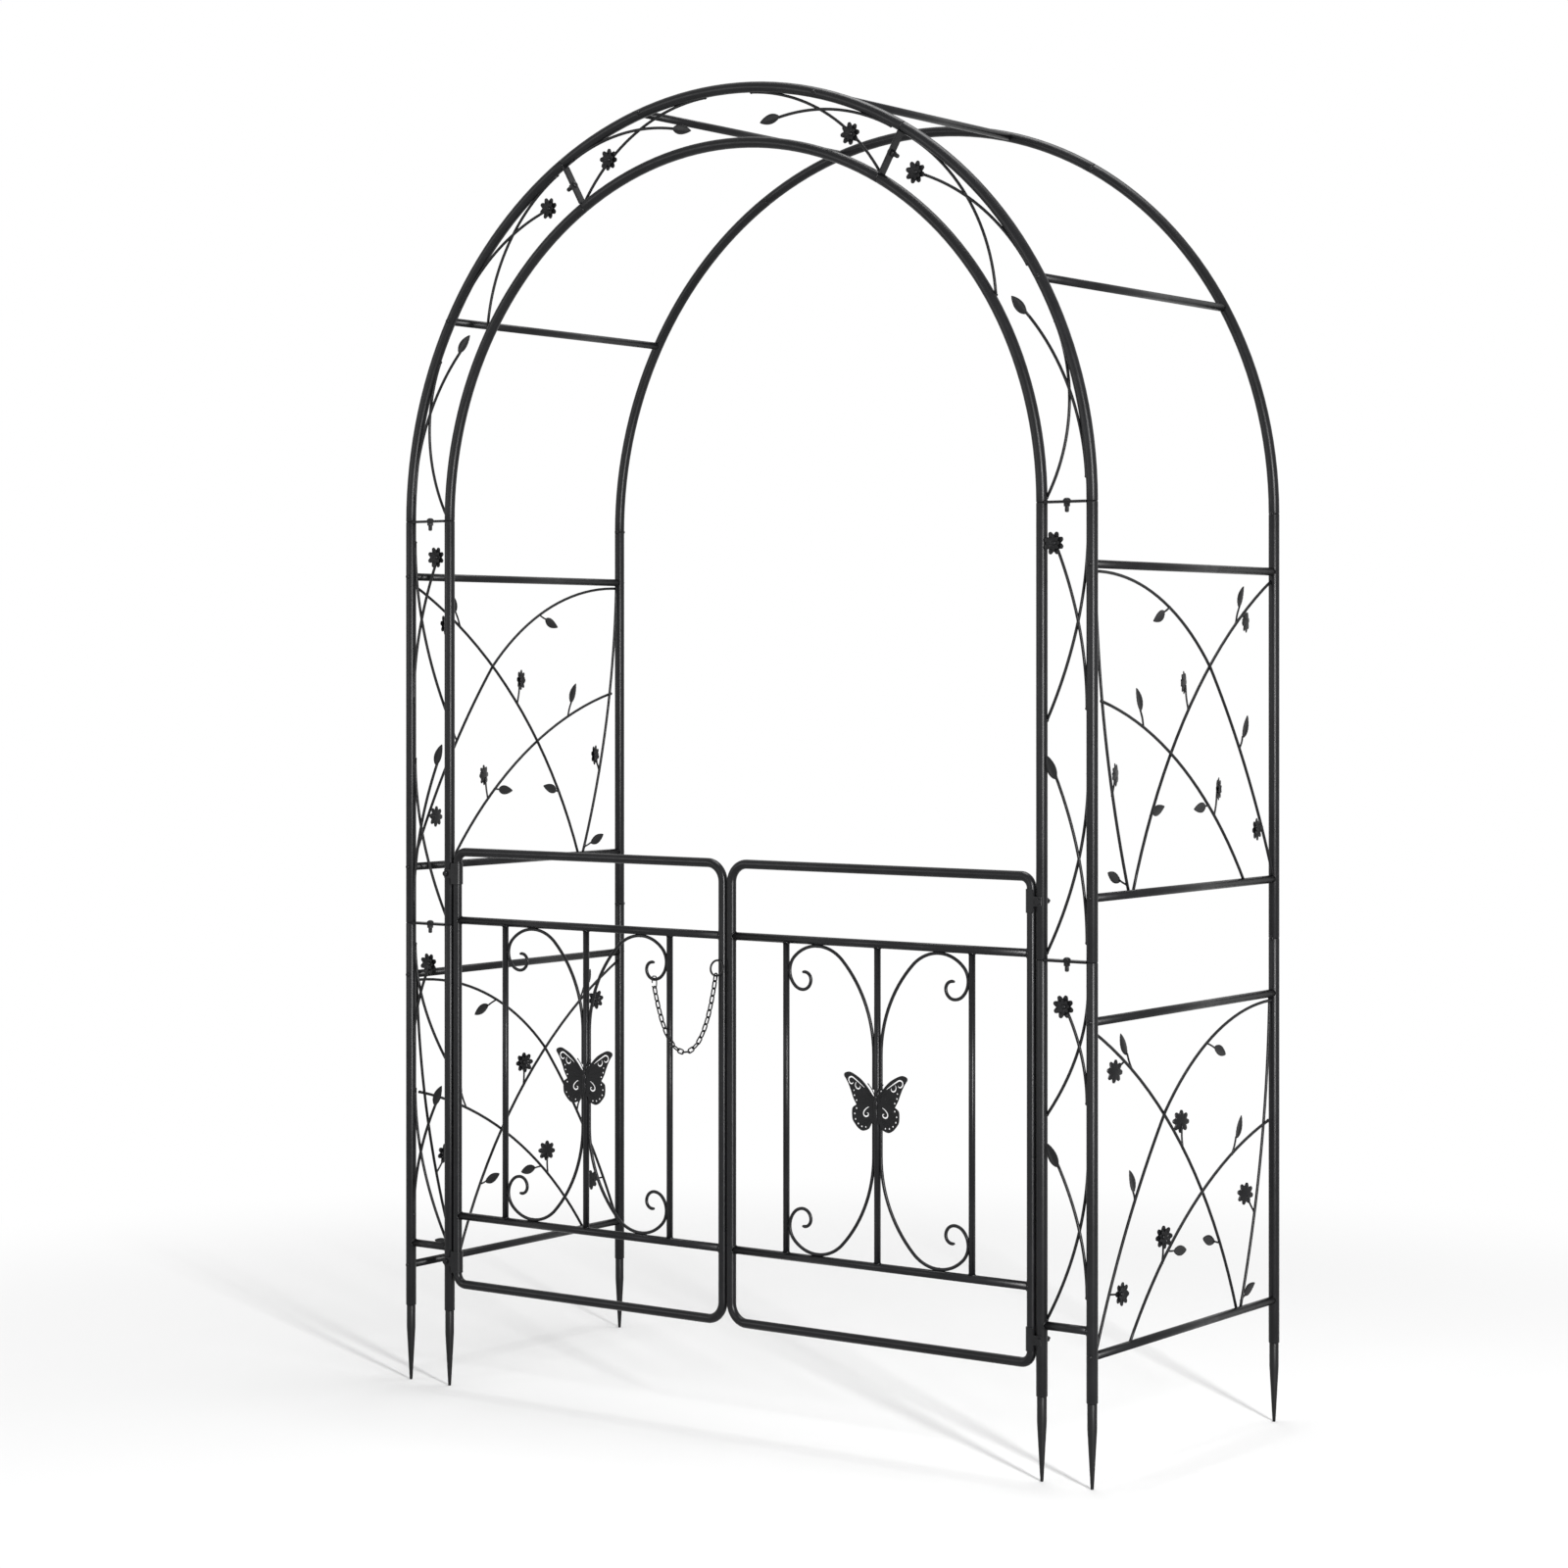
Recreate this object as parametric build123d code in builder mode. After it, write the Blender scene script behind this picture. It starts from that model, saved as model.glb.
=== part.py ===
"""Garden trellis arch with a double gate, as separate named pieces. Millimetres, Z up, front at -Y."""
import os
from math import asinh, atan2, atanh, cos, degrees, radians, sin, sinh, sqrt

from build123d import *

# Driving dimensions of the arch
post_d = 17.0
tube_flats = 12
bar_flats = 8
arch_r = 680.0
ladder_w = 88.0
depth = 574.0
post_foot_z = 128.0
joint_z = 786.0
spring_z = 1475.0
arch_turns = 5

# Spikes, bars and rungs
spike_d = 15.0
spike_tip_d = 5.0
spike_taper_z = 90.0
bar_d = 12.0
panel_h = 499.0
lower_panel_z = 198.0
upper_panel_z = 882.0
arch_bar_angles = (30.0, 75.0, 105.0, 150.0)
rung_z = 236.0

# Bolted joints between the ladder frames
strip_w = 16.0
strip_t = 2.0
neck = 6.0
neck_gap = 0.2
bolt_head_d = 12.0
bolt_head_t = 4.0
nut_d = 11.0
nut_t = 5.0
bolt_tail = 15.0
face_gap = 0.05

# Trellis wire, flowers and leaves
wire = 3.8
wire_chords = 4
flower_d = 36.0
flower_notch_d = 26.0
petals = 8
plate_t = 1.6
leaf_l = 38.0
leaf_w = 14.0
stem_w = 2.6
stem_lap = 3.0
leaf_lap = 4.0
layer_gap = 0.02
wire_bite = 0.5

# Gate leaves
gate_tube_d = 14.0
gate_rod_d = 9.0
gate_bottom_z = 176.0
gate_top_z = 911.0
hinge_gap = 2.5
meeting_x = 10.0
hinge_corner_r = 18.0
meeting_corner_r = 30.0
rail_inset = 116.0
rod_spacing = 175.0
scroll_wire = 4.6
scroll_tail = 53.0
shoulder_r = 68.0
touch = 0.1

# Butterfly on the middle rod of each leaf
wing_span = 118.0
wing_rise = 50.0
wing_drop = 40.0

# Hinge straps
strap_h = 36.0
strap_t = 1.5
strap_gap = 0.3
ear_h = 15.0
hinge_bolt = 5.0
hinge_bolt_tail = 12.0
hinge_head_d = 10.0
hinge_head_t = 3.5
hinge_inset = 37.0

# Chain with its ring and hook
ring_r = 12.8
ring_wire = 3.0
ring_offset = 2.5
ring_drop = 52.0
ring_lean = 12.0
ring_play = 0.85
link_wire = 2.1
link_pitch = 11.9
link_r = 3.5
link_play = 0.4
links = 24
chain_lean = 5.2
hook_wire = 2.0
hook_r = 5.0
hook_l = 14.0
hook_play = 0.7
curl_play = 0.8

# Sizes that follow from the ones above
inner_r = arch_r - ladder_w
mid_r = arch_r - ladder_w / 2
post_r = post_d / 2
half_gap = ladder_w / 2 - post_r
front_reach = 25.0
rear_reach = post_r
front_y = (front_reach - depth - rear_reach) / 2
rear_y = front_y + depth
hinge_x = inner_r - post_r - hinge_gap - gate_tube_d / 2
middle_rod_x = (hinge_x + meeting_x) / 2
hinge_z = (gate_bottom_z + hinge_inset, gate_top_z - hinge_inset)
low_rail_z = gate_bottom_z + rail_inset
high_rail_z = gate_top_z - rail_inset
mid_rail_z = (low_rail_z + high_rail_z) / 2

os.makedirs("parts", exist_ok=True)


def save(shape, name):
    """Write one named node."""
    shape.label = name
    export_step(shape, f"parts/{name}.step")


def group(shapes, name):
    """Write several separate solids as one named node."""
    solids = [solid for shape in shapes for solid in shape.solids()]
    save(Compound(children=solids), name)


def on_arch(radius, angle, y):
    """Point of an arch at an angle measured from the right-hand springing."""
    return Vector(radius * cos(radians(angle)), y, spring_z + radius * sin(radians(angle)))


def arch_points(radius, y, start, end):
    """Bent tube line: straight pieces that touch the arch, with both ends tangent to it."""
    step = (end - start) / arch_turns
    corner_r = radius / cos(radians(step / 2))
    corners = [on_arch(corner_r, start + step * (i + 0.5), y) for i in range(arch_turns)]
    return [on_arch(radius, start, y)] + corners + [on_arch(radius, end, y)]


def swept(points, profile, normal, closed=False):
    """Sweep a small profile sketch along a line of points that lies across the normal."""
    with BuildPart() as piece:
        with BuildLine():
            Polyline(*points, close=closed)
        with BuildSketch(Plane(origin=points[0], x_dir=normal, z_dir=points[1] - points[0])):
            add(profile)
        sweep(transition=Transition.RIGHT)
    return piece.part


def tube_section(diameter, flats=tube_flats):
    """Section of a tube, drawn with flats so that the many tubes and bends stay light."""
    with BuildSketch() as section:
        RegularPolygon(diameter / 2, flats, major_radius=False, rotation=180 / flats)
    return section.sketch


def straight_bar(start, end, diameter):
    """Straight tube whose ends are closed by the pieces it meets."""
    run = Vector(*end) - Vector(*start)
    across = Vector(0, 1, 0) if abs(run.Y) < run.length / 2 else Vector(1, 0, 0)
    with BuildPart() as bar:
        with BuildSketch(Plane(origin=start, x_dir=across, z_dir=run)):
            add(tube_section(diameter, bar_flats))
        extrude(amount=run.length)
    return bar.part


def turned_points(start, heading, arcs):
    """Points of a line in the XZ plane made of arcs, each given as radius, turn and chord count."""
    points = [start]
    angle = radians(heading)
    for radius, turn, chords in arcs:
        for _ in range(chords):
            step = radians(turn) / chords
            run = 2 * radius * sin(abs(step) / 2)
            angle += step / 2
            points.append(points[-1] + Vector(run * cos(angle), 0, run * sin(angle)))
            angle += step / 2
    return points


with BuildSketch() as square_wire:
    Rectangle(wire, wire)
with BuildSketch() as square_scroll:
    Rectangle(scroll_wire, scroll_wire)
with BuildSketch() as square_link:
    Rectangle(link_wire, link_wire)
with BuildSketch() as square_ring:
    Rectangle(ring_wire, ring_wire)
with BuildSketch() as square_hook:
    Rectangle(hook_wire, hook_wire)

# Posts in two lengths, front inner posts drilled for the hinge bolts
post_places = {
    "front_left_outer": (-arch_r, front_y),
    "front_left_inner": (-inner_r, front_y),
    "front_right_inner": (inner_r, front_y),
    "front_right_outer": (arch_r, front_y),
    "rear_left": (-arch_r, rear_y),
    "rear_right": (arch_r, rear_y),
}
frame_tubes = []
for place, (x, y) in post_places.items():
    for length, bottom, top in (("lower", post_foot_z, joint_z), ("middle", joint_z, spring_z)):
        with BuildPart() as post:
            with BuildSketch(Plane.XY.offset(bottom)):
                with Locations((x, y)):
                    add(tube_section(post_d))
            extrude(amount=top - bottom)
            if "inner" in place:
                bolt_z = hinge_z[0] if length == "lower" else hinge_z[1]
                with BuildSketch(Plane.XZ.offset(-y - post_d)):
                    with Locations((x, bolt_z)):
                        Rectangle(hinge_bolt + neck_gap, hinge_bolt + neck_gap)
                extrude(amount=2 * post_d, mode=Mode.SUBTRACT)
        frame_tubes.append(post.part)
        save(post.part, f"{place}_{length}_post")

# Three arches in three lengths each
arch_lengths = {"right": (0, 60), "top": (60, 120), "left": (120, 180)}
arches = {"front_outer": (arch_r, front_y), "front_inner": (inner_r, front_y), "rear": (arch_r, rear_y)}
for arch, (radius, y) in arches.items():
    for side, (start, end) in arch_lengths.items():
        line = arch_points(radius, y, start, end)
        tube = swept(line, tube_section(post_d), (0, 1, 0))
        frame_tubes.append(tube)
        save(tube, f"{arch}_arch_{side}")

# Ground spikes: a round collar under the post and a faceted point
point_taper = degrees(atan2((spike_d - spike_tip_d) / 2, spike_taper_z))
with BuildPart() as spike:
    with BuildSketch(Plane.XY.offset(spike_taper_z)):
        Circle(spike_d / 2)
    extrude(amount=post_foot_z - spike_taper_z)
    with BuildSketch(Plane.XY.offset(spike_taper_z)):
        RegularPolygon(spike_d / 2, bar_flats)
    extrude(amount=-spike_taper_z, taper=point_taper)
group([spike.part.moved(Location((x, y, 0))) for x, y in post_places.values()], "ground_spikes")


# Crossbars and rungs, with saddle ends shaped to the round tubes
def touches(shape, other):
    """True if the boxes of two shapes meet."""
    a = shape.bounding_box()
    b = other.bounding_box()
    low = max(a.min.X - b.max.X, a.min.Y - b.max.Y, a.min.Z - b.max.Z)
    high = max(b.min.X - a.max.X, b.min.Y - a.max.Y, b.min.Z - a.max.Z)
    return max(low, high) < 0


def fitted(shape, tubes):
    """Cut a piece to the tubes that it is welded to."""
    for tube in tubes:
        if touches(shape, tube):
            shape = shape - tube
    return shape


def crossbar(x, z):
    """Front to rear bar."""
    return fitted(straight_bar((x, front_y, z), (x, rear_y, z), bar_d), frame_tubes)


for side, sign in (("left", -1), ("right", 1)):
    for panel, z in (("lower", lower_panel_z), ("upper", upper_panel_z)):
        bars = [crossbar(sign * arch_r, z), crossbar(sign * arch_r, z + panel_h)]
        group(bars, f"{side}_{panel}_panel_bars")

arch_bar_places = [on_arch(arch_r, angle, 0) for angle in arch_bar_angles]
group([crossbar(place.X, place.Z) for place in arch_bar_places], "arch_crossbars")

rungs = []
for sign in (-1, 1):
    rung = straight_bar((sign * inner_r, front_y, rung_z), (sign * arch_r, front_y, rung_z), bar_d)
    rungs.append(fitted(rung, frame_tubes))
group(rungs, "bottom_rungs")

# Bolted joints: an end strip on each ladder length, drawn together by one coach bolt
joint_planes = []
for sign, angle in ((1, 60), (-1, 120)):
    for z in (joint_z, spring_z):
        origin = (sign * mid_r, front_y, z)
        joint_planes.append(Plane(origin=origin, x_dir=(sign, 0, 0), z_dir=(0, 0, 1)))
    outward = on_arch(1, angle, 0) - on_arch(0, angle, 0)
    along = Vector(-sign * outward.Z, 0, sign * outward.X)
    joint_planes.append(Plane(origin=on_arch(mid_r, angle, front_y), x_dir=outward, z_dir=along))

strips = []
bolts = []
nuts = []
for plane in joint_planes:
    for start, thickness in ((0, strip_t), (-strip_t, strip_t - face_gap)):
        with BuildPart() as strip:
            with BuildSketch(plane.offset(start)):
                Rectangle(ladder_w, strip_w)
                Rectangle(neck + neck_gap, neck + neck_gap, mode=Mode.SUBTRACT)
            extrude(amount=thickness)
        strips.append(fitted(strip.part, frame_tubes))
    with BuildPart() as bolt:
        with BuildSketch(plane.offset(strip_t)):
            RegularPolygon(bolt_head_d / 2, 6)
        extrude(amount=bolt_head_t, taper=35)
        with BuildSketch(plane.offset(strip_t)):
            Rectangle(neck, neck)
        extrude(amount=-strip_t * 2 - bolt_tail)
    bolts.append(bolt.part)
    with BuildPart() as nut:
        with BuildSketch(plane.offset(-strip_t)):
            RegularPolygon(nut_d / 2, 6)
            Rectangle(neck + neck_gap, neck + neck_gap, mode=Mode.SUBTRACT)
        extrude(amount=-nut_t)
    nuts.append(nut.part)
group(strips, "joint_strips")
group(bolts, "joint_bolts")
group(nuts, "joint_nuts")


# Trellis wire on the front ladder, in units of one rising and one falling wire
def ladder_point(side, along, across, y):
    """Point of the ladder from its height along the middle line and its offset from that line."""
    if along <= spring_z:
        return Vector(side * (mid_r + across), y, along)
    turn = (along - spring_z) / mid_r
    radius = mid_r + across
    return Vector(side * radius * cos(turn), y, spring_z + radius * sin(turn))


def ladder_edge(radius):
    """Side line of a ladder tube from the right foot over the arch to the left foot."""
    points = [Vector(radius, front_y, 0)]
    for start, end in arch_lengths.values():
        points += arch_points(radius, front_y, start, end)[:-1]
    return points + [Vector(-radius, front_y, spring_z), Vector(-radius, front_y, 0)]


with BuildPart() as ladder_space:
    with BuildSketch(Plane.XZ.offset(-front_y - post_d)):
        with BuildLine():
            outer_edge = [(p.X, p.Z) for p in ladder_edge(arch_r - post_r)]
            inner_edge = [(p.X, p.Z) for p in ladder_edge(inner_r + post_r)]
            Polyline(*outer_edge, *reversed(inner_edge), close=True)
        make_face()
    extrude(amount=2 * post_d)

def from_height(base, *offsets):
    """Heights on the posts, measured from a rung, a joint or the springing."""
    return [base + offset for offset in offsets]


def round_bend(*angles):
    """Lengths along the ladder for angles round the arch."""
    return [spring_z + radians(angle) * mid_r for angle in angles]


# Each unit: rising wire from and to, falling wire from and to, offset at its end, what it carries
ladder_units = {
    "post": [
        (*from_height(rung_z, 9, 264, 49, 244), -15, "leaf"),
        (*from_height(joint_z, -233, -36, -211, -68), -2, "flower"),
        (*from_height(joint_z, 11, 282, 29, 276), -18, "leaf"),
        (*from_height(spring_z, -328, -35, -310, -62), -19, "flower"),
    ],
    "arch": [
        (*round_bend(0.7, 23.9, 3.2, 27.0), -2, "leaf"),
        (*round_bend(32.0, 58.1, 32.4, 54.5), -3, "flower"),
    ],
    "top": [
        (*round_bend(60.5, 86.0, 61.7, 80.6), -3, "leaf"),
    ],
}
top_flower_s = round_bend(67.6)[0]
rise_v = half_gap + wire_bite
back_y = front_y + wire / 2 + layer_gap
fore_y = front_y - wire / 2 - layer_gap
plate_y = front_y - wire - 2 * layer_gap

with BuildSketch() as flower_outline:
    with BuildLine():
        corners = [flower_d / 2, flower_notch_d / 2] * petals
        turns = [180 / petals * i for i in range(2 * petals)]
        Polyline(*[(r * cos(radians(a)), r * sin(radians(a))) for r, a in zip(corners, turns)], close=True)
    make_face()


def leaf_outline(length, width):
    """Pointed leaf from its base at the origin along X."""
    with BuildSketch() as outline:
        with BuildLine():
            Polyline(
                (0, 0),
                (length * 0.25, -width * 0.45),
                (length * 0.6, -width * 0.45),
                (length, 0),
                (length * 0.6, width * 0.45),
                (length * 0.25, width * 0.45),
                close=True,
            )
        make_face()
    return outline.sketch


def rising_point(unit, t, side):
    """Rising wire, steep at the inner tube and lying along the outer one."""
    across = rise_v - 2 * rise_v * (1 - t) ** 2
    return ladder_point(side, unit[0] + (unit[1] - unit[0]) * t, across, back_y)


def falling_point(unit, t, side):
    """Falling wire, lying along the outer tube and steep at its end."""
    across = rise_v - (rise_v - unit[4]) * t**2
    return ladder_point(side, unit[2] + (unit[3] - unit[2]) * t, across, fore_y)


def plate(origin, direction, normal, outline):
    """Pressed plate lying on a wire, its outline running from the origin in the direction."""
    with BuildPart() as piece:
        with BuildSketch(Plane(origin=origin, x_dir=direction, z_dir=normal)):
            add(outline)
        extrude(amount=plate_t)
    return piece.part


flowers = []
leaves = []
forward = Vector(0, -1, 0)
ladder_leaf = leaf_outline(leaf_l, leaf_w)


def ladder_wires(units, side):
    """Wires of some ladder units on one side, adding their flowers and leaves."""
    pieces = []
    for unit in units:
        rising = [rising_point(unit, i / wire_chords, side) for i in range(wire_chords + 1)]
        falling = [falling_point(unit, i / wire_chords, side) for i in range(wire_chords + 1)]
        for line in (rising, falling):
            pieces.append(swept(line, square_wire.sketch, (0, 1, 0)) & ladder_space.part)
        run = (falling[-1] - falling[-2]).normalized()
        end = Vector(falling[-1].X, plate_y, falling[-1].Z)
        if unit[5] == "flower":
            flowers.append(plate(end, run, forward, flower_outline.sketch))
        else:
            leaves.append(plate(end - run * leaf_lap, run, forward, ladder_leaf))
    return pieces


for side, sign in (("left", -1), ("right", 1)):
    group(ladder_wires(ladder_units["post"], sign), f"{side}_post_wires")
    group(ladder_wires(ladder_units["arch"], sign), f"{side}_arch_wires")
group(ladder_wires(ladder_units["top"], 1) + ladder_wires(ladder_units["top"], -1), "top_arch_wires")
for sign in (-1, 1):
    unit = ladder_units["top"][0]
    t = (top_flower_s - unit[0]) / (unit[1] - unit[0])
    place = rising_point(unit, t, sign)
    ahead = rising_point(unit, t + 0.1, sign)
    spot = Vector(place.X, front_y, place.Z)
    flowers.append(plate(spot, (ahead - place).normalized(), forward, flower_outline.sketch))

# Side panels: four wires with leaves and flowers, swapped front to back from panel to panel
# Each wire is one or two arcs through three places, given as shares of the depth and of the panel height
panel_wires = {
    "outer": [
        [((0.0, 0.978), (0.348, 0.902), (0.624, 0.689)), ((0.624, 0.689), (0.836, 0.345), (0.995, -0.01))],
        [((0.042, 0.589), (0.418, 0.415), (0.819, 0.0))],
    ],
    "inner": [
        [((1.0, 0.976), (0.575, 0.631), (0.213, 0.0))],
        [((0.021, 1.0), (0.071, 0.491), (0.195, 0.0))],
    ],
}
# Each ornament: layer, wire, share of the way along it, heading in degrees, stem length, kind
panel_ornaments = [
    ("outer", 0, 0.297, -158, 21, "leaf"),
    ("outer", 0, 0.695, 68, 17.5, "leaf"),
    ("inner", 0, 0.212, 62, 29, "leaf"),
    ("outer", 1, 0.238, 114, 26.5, "leaf"),
    ("inner", 0, 0.81, 15, 11.5, "leaf"),
    ("inner", 1, 0.97, 158, 17, "leaf"),
    ("outer", 1, 0.68, -175, 14, "leaf"),
    ("outer", 0, 0.877, -175, 15, "flower"),
    ("inner", 0, 0.167, -36, 10.5, "flower"),
    ("inner", 0, 0.515, 94, 29, "flower"),
    ("inner", 1, 0.69, 57, 24, "flower"),
    ("outer", 1, 0.725, 86, 28.5, "flower"),
]


def panel_point(place, x, base_z, swap):
    """Point of a side panel from its shares of the depth and of the panel height."""
    share = 1 - place[0] if swap else place[0]
    return Vector(x, front_y + share * depth, base_z + place[1] * panel_h)


def panel_line(arcs, x, base_z, swap):
    """Line of short straight runs along the arcs of one panel wire."""
    line = []
    for low, middle, high in arcs:
        places = [panel_point(place, x, base_z, swap) for place in (low, middle, high)]
        arc = Edge.make_three_point_arc(*places)
        line += [arc @ (i / wire_chords) for i in range(wire_chords)]
    return line + [arc @ 1]


def part_way(line, share):
    """Point a share of the way along a line of short runs."""
    place = share * (len(line) - 1)
    step = min(int(place), len(line) - 2)
    return line[step] + (line[step + 1] - line[step]) * (place - step)


def stemmed(kind, stem):
    """Leaf or flower outline with its stem, from the wire at the origin along X."""
    with BuildSketch() as outline:
        if kind == "leaf":
            with Locations((stem, 0)):
                add(leaf_outline(leaf_l, leaf_w))
        else:
            with Locations((stem + flower_notch_d / 2, 0)):
                add(flower_outline.sketch)
        with Locations(((stem + stem_lap) / 2, 0)):
            Rectangle(stem + stem_lap, stem_w)
    return outline.sketch


for side, sign in (("left", -1), ("right", 1)):
    for panel, base_z in (("lower", lower_panel_z), ("upper", upper_panel_z)):
        swap = (side, panel) in (("left", "upper"), ("right", "lower"))
        with BuildPart() as panel_space:
            with Locations((sign * arch_r, front_y + depth / 2, base_z + panel_h / 2)):
                Box(post_d, depth - post_d, panel_h - bar_d)
        lines = {}
        pieces = []
        for layer, out in (("outer", sign), ("inner", -sign)):
            x = sign * arch_r + out * (wire / 2 + layer_gap)
            lines[layer] = [panel_line(arcs, x, base_z, swap) for arcs in panel_wires[layer]]
            for line in lines[layer]:
                pieces.append(swept(line, square_wire.sketch, (1, 0, 0)) & panel_space.part)
        group(pieces, f"{side}_{panel}_panel_wires")
        for layer, number, share, heading, stem, kind in panel_ornaments:
            out = sign if layer == "outer" else -sign
            seat = part_way(lines[layer][number], share)
            start = Vector(sign * arch_r + out * (wire + 2 * layer_gap), seat.Y, seat.Z)
            turn = radians(180 - heading if swap else heading)
            piece = plate(start, Vector(0, cos(turn), sin(turn)), (out, 0, 0), stemmed(kind, stem))
            (leaves if kind == "leaf" else flowers).append(piece)

group(flowers, "trellis_flowers")
group(leaves, "trellis_leaves")


# Gate leaves, drawn as the right-hand one and mirrored for the left
def gate_loop_points():
    """Bent tube line of one leaf, starting halfway along the bottom."""
    corners = (
        ((hinge_x, gate_bottom_z), hinge_corner_r, 0),
        ((hinge_x, gate_top_z), hinge_corner_r, 90),
        ((meeting_x, gate_top_z), meeting_corner_r, 180),
        ((meeting_x, gate_bottom_z), meeting_corner_r, 270),
    )
    bend_turns = 3
    step = 90 / bend_turns
    points = [Vector(middle_rod_x, front_y, gate_bottom_z)]
    for (x, z), radius, heading in corners:
        inward = radians(heading + 135)
        centre_x = x + radius * sqrt(2) * cos(inward)
        centre_z = z + radius * sqrt(2) * sin(inward)
        reach = radius / cos(radians(step / 2))
        for i in range(bend_turns):
            angle = radians(heading - 90 + step * (i + 0.5))
            points.append(Vector(centre_x + reach * cos(angle), front_y, centre_z + reach * sin(angle)))
    return points


gate_loop = swept(gate_loop_points(), tube_section(gate_tube_d), (0, 1, 0), closed=True)
rails = []
for z in (low_rail_z, high_rail_z):
    rail = straight_bar((meeting_x, front_y, z), (hinge_x, front_y, z), bar_d)
    rails.append(fitted(rail, [gate_loop]))
rods = []
for i in (-1, 0, 1):
    x = middle_rod_x + i * rod_spacing
    rod = straight_bar((x, front_y, low_rail_z), (x, front_y, high_rail_z), gate_rod_d)
    rods.append(fitted(rod, rails))

# Scrolls: up beside the middle rod, over under the rail, down by the outer rod and into a curl
curl = ((62.0, 45, 2), (32.0, 90, 3), (22.0, 45, 1), (16.0, 90, 3), (12.0, 110, 3))
scroll_reach = gate_rod_d / 2 + scroll_wire / 2 + touch
scroll_top_z = high_rail_z - bar_d / 2 - scroll_wire / 2 - touch
diagonal = sqrt(0.5)
outer_rod_x = middle_rod_x - rod_spacing
scroll_top_x = outer_rod_x + scroll_reach + diagonal * curl[0][0] + (1 - diagonal) * curl[1][0]
stalk_x = middle_rod_x - scroll_reach
stalk_r = (stalk_x - scroll_top_x - diagonal * shoulder_r) / (1 - diagonal)
stalk_top_z = scroll_top_z - diagonal * stalk_r - (1 - diagonal) * shoulder_r
scroll_start = Vector(stalk_x, front_y, stalk_top_z)
scroll_end = scroll_start - Vector(0, 0, scroll_tail)
scroll_arcs = ((stalk_r, 45, 2), (shoulder_r, 45, 2)) + curl
scroll_line = [scroll_end] + turned_points(scroll_start, 90, scroll_arcs)
scroll = swept(scroll_line, square_scroll.sketch, (0, 1, 0))
beside = scroll.mirror(Plane(origin=(middle_rod_x, 0, 0), z_dir=(1, 0, 0)))
floor_plane = Plane(origin=(0, 0, mid_rail_z), z_dir=(0, 0, 1))
scrolls = [scroll, beside, scroll.mirror(floor_plane), beside.mirror(floor_plane)]

# Butterfly plate in front of the middle rod, drawn in shares of half its span and of its height
wing_edge = (
    (0.0, 0.156), (0.136, 0.133), (0.237, 0.033), (0.407, 0.0), (0.644, 0.1), (0.746, 0.222), (0.729, 0.389),
    (0.61, 0.444), (0.712, 0.556), (0.864, 0.789), (1.0, 0.922), (0.949, 0.989), (0.814, 1.0), (0.424, 0.867),
    (0.102, 0.633), (0.0, 0.6),
)
upper_cut = ((0.356, 0.722), (0.576, 0.844), (0.864, 0.867), (0.864, 0.828), (0.61, 0.806), (0.39, 0.7))
lower_cut = (
    (0.237, 0.422), (0.39, 0.378), (0.407, 0.3), (0.339, 0.244),
    (0.305, 0.267), (0.339, 0.344), (0.22, 0.389),
)


def wing_line(shares):
    """Places on the plate from shares of half the span and of the height."""
    return [(u * wing_span / 2, w * (wing_rise + wing_drop)) for u, w in shares]


butterfly_place = (middle_rod_x, front_y - gate_rod_d / 2, mid_rail_z - wing_drop)
with BuildPart() as butterfly:
    with BuildSketch(Plane(origin=butterfly_place, x_dir=(1, 0, 0), z_dir=(0, -1, 0))):
        for shares, mode in ((wing_edge, Mode.ADD), (upper_cut, Mode.SUBTRACT), (lower_cut, Mode.SUBTRACT)):
            with BuildLine():
                Polyline(*wing_line(shares), close=True)
            make_face(mode=mode)
        mirror(about=Plane.YZ)
    extrude(amount=plate_t)

across = Plane.YZ
for side in ("right", "left"):
    gate_pieces = {
        "gate_frame": [gate_loop],
        "gate_rails": rails,
        "gate_rods": rods,
        "gate_scrolls": scrolls,
        "gate_butterfly": [butterfly.part],
    }
    for name, pieces in gate_pieces.items():
        shapes = pieces if side == "right" else [piece.mirror(across) for piece in pieces]
        group(shapes, f"{side}_{name}")

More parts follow.
